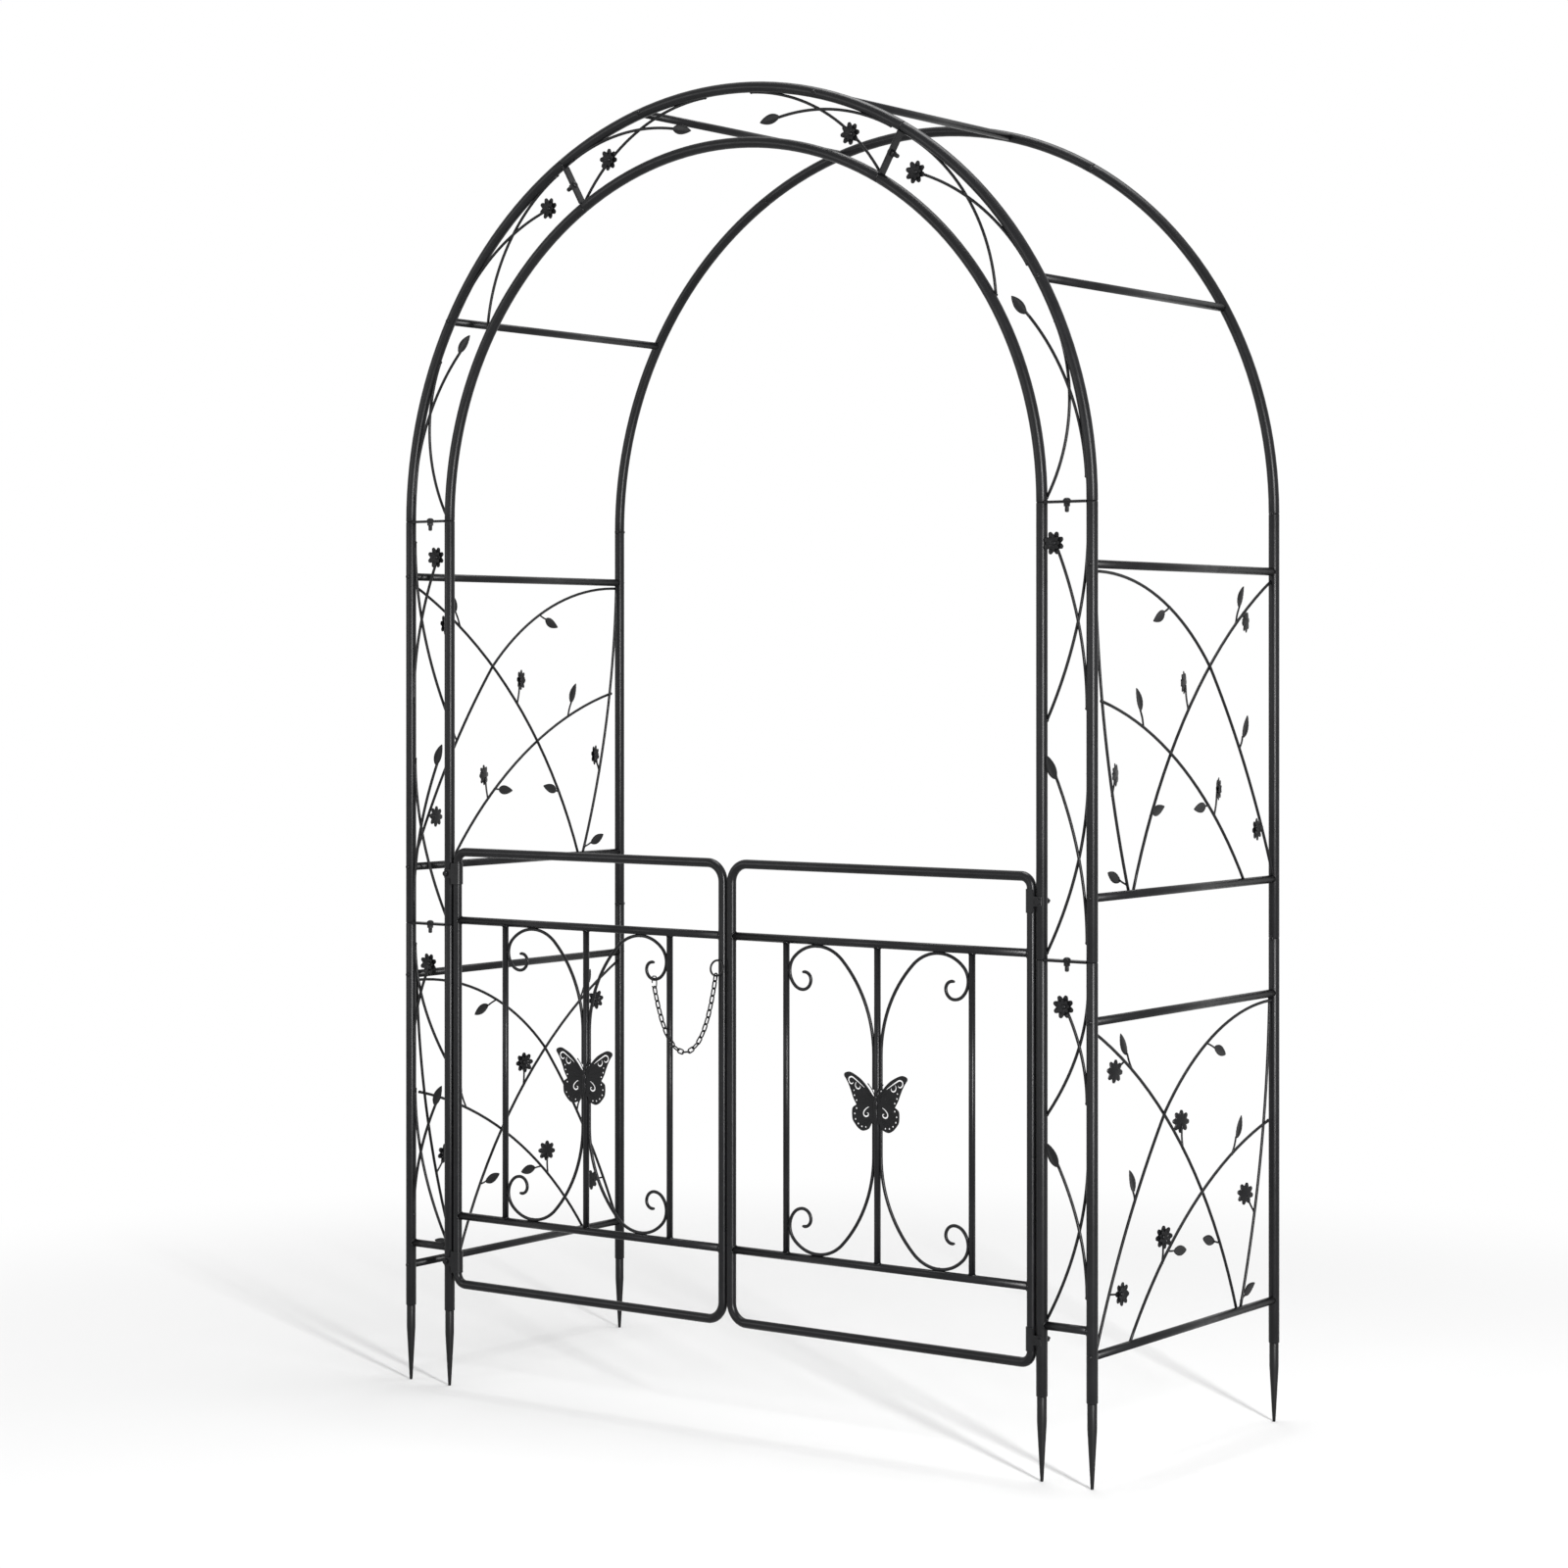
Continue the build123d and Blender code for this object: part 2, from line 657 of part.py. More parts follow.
# Hinge straps round the hinge stile, bolted through the inner posts
ear_x = inner_r + hinge_bolt
stile_reach = gate_tube_d / 2 / cos(radians(180 / tube_flats))
straps = []
hinge_bolts = []
hinge_nuts = []
for z in hinge_z:
    with BuildPart() as strap:
        with BuildSketch(Plane.XY.offset(z - strap_h / 2)):
            for spare, mode in ((strap_t, Mode.ADD), (0, Mode.SUBTRACT)):
                with BuildSketch(mode=mode):
                    with Locations((hinge_x, front_y)):
                        add(tube_section(2 * (stile_reach + strap_gap + spare), bar_flats))
                    with Locations((inner_r, front_y)):
                        add(tube_section(post_d + 2 * (face_gap + spare)))
                    make_hull()
            with Locations((ear_x + post_d, front_y)):
                Rectangle(2 * post_d, 2 * post_d, mode=Mode.SUBTRACT)
        extrude(amount=strap_h)
        for level in (z + ear_h / 2, z - strap_h / 2):
            with BuildSketch(Plane.XY.offset(level)):
                with Locations((inner_r, front_y)):
                    Rectangle(post_d + 2, 2 * post_d)
            extrude(amount=(strap_h - ear_h) / 2, mode=Mode.SUBTRACT)
        with BuildSketch(Plane.XZ.offset(-front_y - post_d)):
            with Locations((inner_r, z)):
                Rectangle(hinge_bolt + neck_gap, hinge_bolt + neck_gap)
        extrude(amount=2 * post_d, mode=Mode.SUBTRACT)
    straps.append(strap.part)
    ear_y = post_r + face_gap + strap_t
    with BuildPart() as bolt:
        with BuildSketch(Plane.XZ.offset(-front_y + ear_y)):
            with Locations((inner_r, z)):
                RegularPolygon(hinge_head_d / 2, 6)
        extrude(amount=hinge_head_t)
        with BuildSketch(Plane.XZ.offset(-front_y + ear_y)):
            with Locations((inner_r, z)):
                Rectangle(hinge_bolt, hinge_bolt)
        extrude(amount=-2 * ear_y - hinge_bolt_tail)
    hinge_bolts.append(bolt.part)
    with BuildPart() as nut:
        with BuildSketch(Plane.XZ.offset(-front_y - ear_y)):
            with Locations((inner_r, z)):
                RegularPolygon(nut_d / 2, 6)
                Rectangle(hinge_bolt + neck_gap, hinge_bolt + neck_gap, mode=Mode.SUBTRACT)
        extrude(amount=-nut_t)
    hinge_nuts.append(nut.part)
for name, pieces in (("hinge_straps", straps), ("hinge_bolts", hinge_bolts), ("hinge_nuts", hinge_nuts)):
    group(pieces + [piece.mirror(across) for piece in pieces], name)

# Ring on the left meeting stile, leaning out at its foot
ring_sides = 12
ring_back = gate_tube_d / 2 + ring_wire / 2 + touch
ring_y = front_y - ring_back - ring_r * sin(radians(ring_lean))
ring_plane = Plane(
    origin=(-meeting_x - ring_offset, ring_y, high_rail_z - ring_drop),
    x_dir=(1, 0, 0),
    z_dir=(0, -cos(radians(ring_lean)), sin(radians(ring_lean))),
)
ring_places = [(0, -ring_r * cos(radians(180 / ring_sides)))]
for i in range(ring_sides):
    turn = radians(360 / ring_sides * (i + 0.5) + 270)
    ring_places.append((ring_r * cos(turn), ring_r * sin(turn)))
ring_line = [ring_plane.from_local_coords(Vector(u, v, 0)) for u, v in ring_places]
ring = swept(ring_line, square_ring.sketch, ring_plane.z_dir, closed=True)
group([fitted(ring, [gate_loop.mirror(across)])], "chain_ring")

# Chain plane through the curl that holds the hook and the foot of the ring
curl_foot = min(scroll_line[6:], key=lambda point: point.Z)
hook_place = Vector(-curl_foot.X, front_y, curl_foot.Z)
ring_foot = ring_line[0]
along_chain = (ring_foot - hook_place).normalized()
level_out = Vector(along_chain.Y, -along_chain.X, 0).normalized()
steep = along_chain.cross(level_out)
if steep.Z > 0:
    steep = -steep
down = steep * cos(radians(chain_lean)) + level_out * sin(radians(chain_lean))
out = along_chain.cross(down).normalized()
span = (ring_foot - hook_place).length


def in_chain_plane(u, w):
    """Point of the chain's plane from its distance along the hinge line and below it."""
    return hook_place + along_chain * u + down * w


# Hanging curve of the chain between the hook and the ring
hang_start = hook_l - hook_wire / 2 - hook_play
hang_end = -ring_wire * sqrt(0.5) - ring_play
chain_l = links * link_pitch
drop = hang_start - hang_end
sag_a = 10.0
sag_b = 1000.0
for _ in range(60):
    sag = (sag_a + sag_b) / 2
    if 2 * sag * sinh(span / 2 / sag) > sqrt(chain_l**2 - drop**2):
        sag_a = sag
    else:
        sag_b = sag
low_u = span / 2 - sag * atanh(drop / chain_l)
low_s = sag * sinh(low_u / sag)


def hanging(s):
    """Point of the hanging curve at a length along it."""
    u = low_u + sag * asinh((s - low_s) / sag)
    rise = sqrt(sag**2 + (s - low_s) ** 2) - sqrt(sag**2 + low_s**2)
    return in_chain_plane(u, hang_start - rise)


def loop_line(centre, run, wide, length, radius):
    """Long loop with blunt round ends, starting halfway along one side."""
    flat = length / 2 - radius
    blunt = radius * 0.55
    places = [(0, radius), (flat, radius), (length / 2, blunt), (length / 2, -blunt), (flat, -radius)]
    places += [(-u, -v) for u, v in places[1:]]
    return [centre + run * u + wide * v for u, v in places]


link_shapes = []
link_l = link_pitch + link_wire - link_play
for i in range(links):
    centre = hanging((i + 0.5) * link_pitch)
    run = (hanging((i + 0.6) * link_pitch) - hanging((i + 0.4) * link_pitch)).normalized()
    flat_way = out.cross(run).normalized()
    wide = flat_way if i % 2 == 0 else out
    line = loop_line(centre, run, wide, link_l, link_r)
    link_shapes.append(swept(line, square_link.sketch, run.cross(wide), closed=True))
group(link_shapes, "chain_links")

# Open hook over the curl
hook_top = -(scroll_wire * sqrt(0.5) + curl_play + hook_wire / 2)
hook_line = [
    (hook_l * 0.45, -hook_r),
    (0, -hook_r),
    (hook_top, -hook_r * 0.65),
    (hook_top, hook_r * 0.65),
    (0, hook_r),
    (hook_l - hook_r * 0.5, hook_r),
    (hook_l, hook_r * 0.5),
    (hook_l, -hook_r * 0.5),
    (hook_l - hook_r * 0.5, -hook_r),
]
hook_points = [in_chain_plane(0, w) + out * v for w, v in hook_line]
save(swept(hook_points, square_hook.sketch, along_chain), "chain_hook")
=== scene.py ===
"""Looks of a metal garden trellis arch with a double gate: round tubes and wires, pressed ornaments, satin coat."""
from math import asin, asinh, atanh, cos, pi, radians, sin, sinh, sqrt

import bpy
from mathutils import Matrix, Vector, noise


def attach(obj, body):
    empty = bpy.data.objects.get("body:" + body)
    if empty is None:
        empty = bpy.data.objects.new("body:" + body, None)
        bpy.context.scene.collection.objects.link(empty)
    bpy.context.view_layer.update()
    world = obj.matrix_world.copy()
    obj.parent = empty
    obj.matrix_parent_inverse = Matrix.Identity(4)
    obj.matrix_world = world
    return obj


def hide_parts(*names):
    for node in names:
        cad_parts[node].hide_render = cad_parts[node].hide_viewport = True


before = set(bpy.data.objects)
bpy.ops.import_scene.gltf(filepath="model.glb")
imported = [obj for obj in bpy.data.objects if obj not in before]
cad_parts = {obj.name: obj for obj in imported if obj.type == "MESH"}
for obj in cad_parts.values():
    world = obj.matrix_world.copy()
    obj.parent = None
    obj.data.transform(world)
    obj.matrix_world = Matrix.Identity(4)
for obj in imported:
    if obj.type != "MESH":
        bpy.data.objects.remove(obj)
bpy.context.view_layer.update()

# Sizes in millimetres, the same as the solids
post_r = 8.5
arch_r = 680.0
inner_r = 592.0
mid_r = (arch_r + inner_r) / 2
front_y = -278.75
rear_y = 295.25
depth = rear_y - front_y
post_foot_z = 128.0
joint_z = 786.0
spring_z = 1475.0
bar_r = 6.0
panel_h = 499.0
panel_z = {"lower": 198.0, "upper": 882.0}
arch_bar_angles = (30.0, 75.0, 105.0, 150.0)
arch_joints = {1: 60, -1: 120}
rung_z = 236.0
wire_r = 1.9
rod_r = 4.5
hinge_x = 574.0
middle_x = 292.0
hinge_corner_r = 18.0
meeting_corner_r = 30.0
sheet_t = 1.0
gate_bottom_z = 176.0
gate_top_z = 911.0
low_rail_z = 292.0
high_rail_z = 795.0
mid_z = (low_rail_z + high_rail_z) / 2
rod_spacing = 175.0
scroll_r = 2.3
hinge_z = (213.0, 874.0)
sides = {"left": -1, "right": 1}

# Sizes as drawn: a little bolder than the solids, and the meeting stiles nearer each other
post_look_r = 8.75
bar_look_r = 6.5
gate_look_r = 7.5
rod_look_r = 5.25
scroll_look_r = 2.7
wire_look_r = 2.4
stem_look_r = 1.6
ring_look_r = 1.7
link_look_r = 1.2
meeting_look_x = 8.6

millimetre = 0.001
up = Vector((0, 0, 1))
sideways = Vector((1, 0, 0))


class Soup:
    """Growing list of vertices and faces, in millimetres."""

    def __init__(self):
        self.verts = []
        self.faces = []
        self.smooth = []

    def face(self, corners, smooth=True):
        self.faces.append(corners)
        self.smooth.append(smooth)

    def ring(self, points):
        start = len(self.verts)
        self.verts.extend(points)
        return list(range(start, start + len(points)))

    def join(self, a, b, smooth=True, flat_sides=()):
        count = len(a)
        for i in range(count):
            j = (i + 1) % count
            self.face((a[i], a[j], b[j], b[i]), smooth and i not in flat_sides)

    def skin(self, rings, smooth=True, smooth_ends=False, flat_rows=(), flat_sides=()):
        """Join the rings one after another and close both ends."""
        for i, (a, b) in enumerate(zip(rings, rings[1:])):
            self.join(a, b, smooth and i not in flat_rows, flat_sides)
        self.face(tuple(reversed(rings[0])), smooth_ends)
        self.face(tuple(rings[-1]), smooth_ends)


def full_turn(steps):
    """Angles of one full turn in equal steps."""
    return [2 * pi * k / steps for k in range(steps)]


def sweep(soup, path, radius, around, closed=False, scales=None):
    """Round tube along a path; scales give its size at each point."""
    count = len(path)
    normal = None
    rings = []
    for i, point in enumerate(path):
        before = path[i - 1] if closed or i > 0 else path[i]
        after = path[(i + 1) % count] if closed or i < count - 1 else path[i]
        run = (after - before).normalized()
        if normal is None:
            normal = run.orthogonal()
        normal = (normal - run * normal.dot(run)).normalized()
        other = run.cross(normal)
        size = radius * (scales[i] if scales else 1)
        rings.append(soup.ring([point + (normal * cos(a) + other * sin(a)) * size for a in full_turn(around)]))
    if closed:
        for a, b in zip(rings, rings[1:] + rings[:1]):
            soup.join(a, b)
    else:
        soup.skin(rings)


def rolled(path):
    """Path and scales of a tube whose two ends are rolled in a little."""
    lip = 1.4
    shrink = 0.9
    easing = 1 - (1 - shrink) * 0.3
    first = (path[1] - path[0]).normalized()
    last = (path[-1] - path[-2]).normalized()
    near = [path[0], path[0] + first * lip * 0.5, path[0] + first * lip]
    far = [path[-1] - last * lip, path[-1] - last * lip * 0.5, path[-1]]
    scales = [shrink, easing, 1] + [1] * (len(path) - 2) + [1, easing, shrink]
    return near + path[1:-1] + far, scales


def lathe(soup, profile, place, around, flat_rows=()):
    """Turned form: profile pairs of radius and height, put in place by a matrix."""
    rings = []
    for radius, height in profile:
        points = [Vector((radius * cos(a), radius * sin(a), height)) for a in full_turn(around)]
        rings.append(soup.ring([place @ point for point in points]))
    soup.skin(rings, flat_rows=flat_rows)


def basis(origin, x_way, z_way):
    """Matrix that puts local X and Z along two given ways."""
    z = Vector(z_way).normalized()
    x = Vector(x_way)
    x = (x - z * x.dot(z)).normalized()
    y = z.cross(x)
    return Matrix.Translation(Vector(origin)) @ Matrix((x, y, z)).transposed().to_4x4()


def smooth_line(points, per):
    """Smooth line through all the points, in so many steps from each to the next."""
    pts = [Vector(p) for p in points]
    last = len(pts) - 1
    line = []
    for i in range(last):
        p1 = pts[i]
        p2 = pts[i + 1]
        p0 = pts[i - 1] if i > 0 else p1 * 2 - p2
        p3 = pts[i + 2] if i + 1 < last else p2 * 2 - p1
        for k in range(per):
            t = k / per
            a = p1 * 2 + (p2 - p0) * t
            b = (p0 * 2 - p1 * 5 + p2 * 4 - p3) * t * t
            c = (p1 * 3 - p0 - p2 * 3 + p3) * t * t * t
            line.append((a + b + c) * 0.5)
    return line + [pts[-1]]


def flat_line(pairs, per):
    """Smooth line through places in a plane."""
    return smooth_line([(u, w, 0) for u, w in pairs], per)


def add_node(tree, kind, values=None, **settings):
    """New shader node with its settings and the values of its inputs."""
    node = tree.nodes.new(f"ShaderNode{kind}")
    for name, value in settings.items():
        setattr(node, name, value)
    for name, value in (values or {}).items():
        node.inputs[name].default_value = value
    return node


# Satin powder coat, with fine grain, faint mottling and a few rubbed specks
coat_ior = 1.45
coat_shine = 0.19
gloss_below, gloss_above = 0.04, 0.05
grain_depth = 0.00005


def powder_coat(name, shade, rough, grain, rub):
    """Coat of a shade and roughness, with the strength of its grain and how much lighter its specks are."""
    material = bpy.data.materials.new(name)
    material.use_nodes = True
    tree = material.node_tree
    links = tree.links
    coat = tree.nodes["Principled BSDF"]
    coat.inputs["Metallic"].default_value = 0.0
    coat.inputs["IOR"].default_value = coat_ior
    coat.inputs["Specular IOR Level"].default_value = coat_shine
    place = add_node(tree, "TexCoord")

    def noise_of(scale, detail):
        texture = add_node(tree, "TexNoise", {"Scale": scale, "Detail": detail})
        links.new(place.outputs["Object"], texture.inputs["Vector"])
        return texture.outputs["Fac"]

    def spread(value, low, high, to_low=0.0, to_high=1.0):
        ends = {"From Min": low, "From Max": high, "To Min": to_low, "To Max": to_high}
        mapped = add_node(tree, "MapRange", ends)
        links.new(value, mapped.inputs["Value"])
        return mapped.outputs["Result"]

    def mixed(factor, colours):
        mix = add_node(tree, "Mix", colours, data_type="RGBA")
        links.new(factor, mix.inputs["Factor"])
        return mix

    dark = tuple(c * 0.78 for c in shade) + (1.0,)
    light = tuple(c * 1.22 for c in shade) + (1.0,)
    worn = tuple(c * 1.5 + rub for c in shade) + (1.0,)
    ground = mixed(spread(noise_of(scale=22.0, detail=4.0), 0.35, 0.68), {"A": dark, "B": light})
    specks = mixed(spread(noise_of(scale=310.0, detail=3.0), 0.66, 0.74), {"B": worn})
    links.new(ground.outputs["Result"], specks.inputs["A"])
    links.new(specks.outputs["Result"], coat.inputs["Base Color"])
    gloss = spread(noise_of(scale=60.0, detail=5.0), 0.3, 0.7, rough - gloss_below, rough + gloss_above)
    links.new(gloss, coat.inputs["Roughness"])
    bump = add_node(tree, "Bump", {"Strength": grain, "Distance": grain_depth})
    links.new(noise_of(scale=420.0, detail=1.0), bump.inputs["Height"])
    links.new(bump.outputs["Normal"], coat.inputs["Normal"])
    return material


coats = {
    "frame_metal": powder_coat("frame_coat", (0.0046, 0.0047, 0.0053), 0.33, 0.08, 0.004),
    "gate_metal": powder_coat("gate_coat", (0.0044, 0.0045, 0.0051), 0.30, 0.06, 0.004),
    "wire_metal": powder_coat("wire_coat", (0.0040, 0.0041, 0.0046), 0.34, 0.10, 0.004),
    "ornament_metal": powder_coat("ornament_coat", (0.0044, 0.0045, 0.0050), 0.32, 0.12, 0.005),
    "hardware_metal": powder_coat("hardware_coat", (0.0052, 0.0053, 0.0058), 0.32, 0.2, 0.009),
    "spike_metal": powder_coat("spike_coat", (0.0048, 0.0049, 0.0053), 0.42, 0.3, 0.008),
    "chain_metal": powder_coat("chain_coat", (0.0046, 0.0047, 0.0051), 0.32, 0.2, 0.008),
}


def piece(soup, name, body, slot, *nodes):
    """Turn a soup into an object that rides on a body and stands for CAD nodes."""
    mesh = bpy.data.meshes.new(name)
    mesh.from_pydata([v * millimetre for v in soup.verts], [], soup.faces)
    mesh.polygons.foreach_set("use_smooth", soup.smooth)
    mesh.materials.append(coats[slot])
    mesh.validate()
    mesh.update()
    thing = bpy.data.objects.new(name, mesh)
    bpy.context.scene.collection.objects.link(thing)
    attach(thing, body)
    for node in nodes:
        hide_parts(node)


def look(soup, node, body, slot):
    """Piece that is drawn in the place of one CAD node."""
    piece(soup, f"look_{node}", body, slot, node)


def bead(soup, spot, size, seed):
    """Small uneven blob of weld."""
    rows = 5
    around = 9
    unevenness = 0.22
    rings = []
    for r in range(rows + 1):
        tilt = pi * (r + 0.2) / (rows + 0.4)
        ring = []
        for a in full_turn(around):
            way = Vector((sin(tilt) * cos(a), sin(tilt) * sin(a), cos(tilt)))
            swell = 1 + unevenness * noise.noise(way * 1.7 + Vector((seed, seed * 0.7, 0)))
            ring.append(spot + way * size * swell)
        rings.append(soup.ring(ring))
    soup.skin(rings[::-1], smooth_ends=True)


def saddle_weld(soup, axis_point, bar_way, tube_way, bar_radius, tube_radius, size):
    """Weld bead round the end of a bar where it meets a tube."""
    steps = 24
    proud = 0.2
    unevenness = 0.28
    side = bar_way.cross(tube_way)
    path = []
    for a in full_turn(steps):
        off = bar_radius * cos(a)
        reach = sqrt(max(tube_radius**2 - off**2, 0.0))
        path.append(axis_point + bar_way * (reach + proud) + side * off + tube_way * bar_radius * sin(a))
    scales = [1 + unevenness * sin(k * 2.3) * cos(k * 1.1) for k in range(steps)]
    sweep(soup, path, size, 8, True, scales)


# Posts and arches
post_places = {
    "front_left_outer": (-arch_r, front_y),
    "front_left_inner": (-inner_r, front_y),
    "front_right_inner": (inner_r, front_y),
    "front_right_outer": (arch_r, front_y),
    "rear_left": (-arch_r, rear_y),
    "rear_right": (arch_r, rear_y),
}
for place, (x, y) in post_places.items():
    for length, bottom, top in (("lower", post_foot_z, joint_z), ("middle", joint_z, spring_z)):
        soup = Soup()
        path, scales = rolled([Vector((x, y, bottom)), Vector((x, y, top))])
        sweep(soup, path, post_look_r, 28, scales=scales)
        look(soup, f"{place}_{length}_post", "arch", "frame_metal")


def on_arch(radius, angle, y):
    """Place on an arch, by its angle in degrees from the right."""
    a = radians(angle)
    return Vector((radius * cos(a), y, spring_z + radius * sin(a)))


arches = {"front_outer": (arch_r, front_y), "front_inner": (inner_r, front_y), "rear": (arch_r, rear_y)}
arch_turn = 60
arch_steps = 30
for arch, (radius, y) in arches.items():
    for number, side in enumerate(("right", "top", "left")):
        soup = Soup()
        angles = [arch_turn * number + arch_turn * i / arch_steps for i in range(arch_steps + 1)]
        path, scales = rolled([on_arch(radius, angle, y) for angle in angles])
        sweep(soup, path, post_look_r, 24, scales=scales)
        look(soup, f"{arch}_arch_{side}", "arch", "frame_metal")

# Ground spikes, by radius and height from the tip up
spike = ((1.6, 0.0), (2.3, 0.6), (2.6, 2.0), (7.45, 89.5), (7.5, 90.5), (7.5, 127.2), (7.2, 128.0))
soup = Soup()
for x, y in post_places.values():
    lathe(soup, spike, Matrix.Translation((x, y, 0)), 28)
look(soup, "ground_spikes", "arch", "spike_metal")

# Crossbars and rungs with their welds and screws, heads by radius and height
washer = ((4.3, -0.6), (4.3, 0.4), (4.1, 0.6))
pan_head = ((3.5, 0.5), (3.5, 1.3), (3.1, 2.1), (2.3, 2.6), (1.7, 2.7), (1.1, 2.75), (0.5, 2.8))
recess_r = 2.0
recess_half_width = 0.4
recess_depth = 1.2
tube_nut = (4.0, 3.4)
nut_sink = 0.4
bar_inset = 4
bar_weld = 1.3


def tube_between(soup, start, end, radius):
    """Straight round bar."""
    sweep(soup, [start, start.lerp(end, 0.5), end], radius, 20)


def welded_bar(soup, start, end, tube_way, radius, tube_radius, inset, weld):
    """Bar between the middles of two tubes, with a weld at each end."""
    way = (end - start).normalized()
    tube_between(soup, start + way * inset, end - way * inset, radius)
    saddle_weld(soup, start, way, tube_way, radius, tube_radius, weld)
    saddle_weld(soup, end, -way, tube_way, radius, tube_radius, weld)


def screw(soup, spot, way):
    """Pan head with a washer face and a cross recess."""
    place = basis(spot, up, way)
    lathe(soup, washer, place, 24, flat_rows=(1,))
    rings = []
    for r, h in pan_head:
        ring = []
        for a in full_turn(32):
            cross = r < recess_r and min(abs(cos(a)), abs(sin(a))) * r < recess_half_width
            ring.append(place @ Vector((r * cos(a), r * sin(a), h - (recess_depth if cross else 0))))
        rings.append(soup.ring(ring))
    soup.skin(rings, smooth_ends=True)


def hexagon(soup, place, radius, height):
    """Nut or bolt head with chamfered corners, standing on local Z."""
    profile = ((0.93, 0.0), (1, 0.5), (1, height - 0.7), (0.88, height), (0.5, height))
    rings = []
    for share, h in profile:
        ring = []
        for a in full_turn(24):
            flat = radius * cos(pi / 6) / cos((a % (pi / 3)) - pi / 6)
            r = min(radius * share, flat)
            ring.append(place @ Vector((r * cos(a), r * sin(a), h)))
        rings.append(soup.ring(ring))
    soup.skin(rings, False)


screws = Soup()


def crossbar(soup, x, z):
    """Bar from the front tube to the rear one, with a screw at each end."""
    tube_between(soup, Vector((x, front_y + bar_inset, z)), Vector((x, rear_y - bar_inset, z)), bar_look_r)
    screw(screws, Vector((x, front_y - post_r, z)), (0, -1, 0))
    screw(screws, Vector((x, rear_y + post_r, z)), (0, 1, 0))


for side, sign in sides.items():
    for panel, z in panel_z.items():
        soup = Soup()
        crossbar(soup, sign * arch_r, z)
        crossbar(soup, sign * arch_r, z + panel_h)
        look(soup, f"{side}_{panel}_panel_bars", "arch", "frame_metal")
soup = Soup()
for angle in arch_bar_angles:
    spot = on_arch(arch_r, angle, 0)
    crossbar(soup, spot.x, spot.z)
look(soup, "arch_crossbars", "arch", "frame_metal")
rear_joints = [Vector((sign * arch_r, rear_y, z)) for sign in (-1, 1) for z in (joint_z, spring_z)]
rear_joints += [on_arch(arch_r, angle, rear_y) for angle in arch_joints.values()]
for spot in rear_joints:
    screw(screws, spot - Vector((0, post_r, 0)), (0, -1, 0))
    hexagon(screws, basis(spot + Vector((0, post_r - nut_sink, 0)), up, (0, 1, 0)), *tube_nut)
piece(screws, "tube_screws", "arch", "hardware_metal")

soup = Soup()
for sign in (-1, 1):
    inner = Vector((sign * inner_r, front_y, rung_z))
    outer = Vector((sign * arch_r, front_y, rung_z))
    welded_bar(soup, inner, outer, up, bar_look_r, post_look_r, bar_inset, bar_weld)
look(soup, "bottom_rungs", "arch", "frame_metal")

# Bolted joints of the ladder
strip_size = (74.0, 16.0, 1.9)
strip_edge = 0.45
strip_middles = (1.0, -1.03)
joint_dome = ((6.0, 2.0), (6.0, 2.6), (5.6, 3.6), (4.6, 4.7), (3.0, 5.6), (1.2, 6.0), (0.3, 6.05))
joint_nut = (5.5, 5.0)
joint_nut_at = 2.1


def rounded_bar(soup, place, size, edge):
    """Flat bar with eased edges."""
    hx, hy, hz = (s / 2 for s in size)
    ease = edge * 0.85
    rings = []
    for z, inset in ((-hz, ease), (-hz + edge, 0), (hz - edge, 0), (hz, ease)):
        corner_r = edge - inset
        ring = []
        for cx, cy, turn in ((1, 1, 0), (-1, 1, 90), (-1, -1, 180), (1, -1, 270)):
            for k in range(4):
                a = radians(turn + 30 * k)
                corner = (cx * (hx - edge) + corner_r * cos(a), cy * (hy - edge) + corner_r * sin(a), z)
                ring.append(place @ Vector(corner))
        rings.append(soup.ring(ring))
    soup.skin(rings, False)


def threaded(soup, place, radius, start, end, pitch):
    """Shank with thread ridges between two heights and a rounded end."""
    plain_end = 2.2
    root = radius * 0.86
    profile = [(root, start)]
    for k in range(int((end - start - plain_end) / pitch)):
        base = start + k * pitch
        profile += [(root, base + pitch * 0.1), (radius, base + pitch * 0.5), (root, base + pitch * 0.9)]
    profile += [(radius * 0.9, end - 2.0), (radius * 0.84, end - 1.0), (radius * 0.6, end - 0.3), (radius * 0.2, end)]
    lathe(soup, profile, place, 16)


joint_places = []
for sign, angle in arch_joints.items():
    for z in (joint_z, spring_z):
        joint_places.append(basis((sign * mid_r, front_y, z), (sign, 0, 0), up))
    outward = on_arch(1, angle, 0) - on_arch(0, angle, 0)
    along = Vector((-sign * outward.z, 0, sign * outward.x))
    joint_places.append(basis(on_arch(mid_r, angle, front_y), outward, along))
strips = Soup()
bolts = Soup()
nuts = Soup()
for place in joint_places:
    for middle in strip_middles:
        rounded_bar(strips, place @ Matrix.Translation((0, 0, middle)), strip_size, strip_edge)
    lathe(bolts, joint_dome, place, 24)
    down = place @ Matrix.Rotation(pi, 4, "X")
    threaded(bolts, down, radius=3.6, start=1.5, end=16.0, pitch=1.0)
    hexagon(nuts, down @ Matrix.Translation((0, 0, joint_nut_at)), *joint_nut)
look(strips, "joint_strips", "arch", "frame_metal")
look(bolts, "joint_bolts", "arch", "hardware_metal")
look(nuts, "joint_nuts", "arch", "hardware_metal")


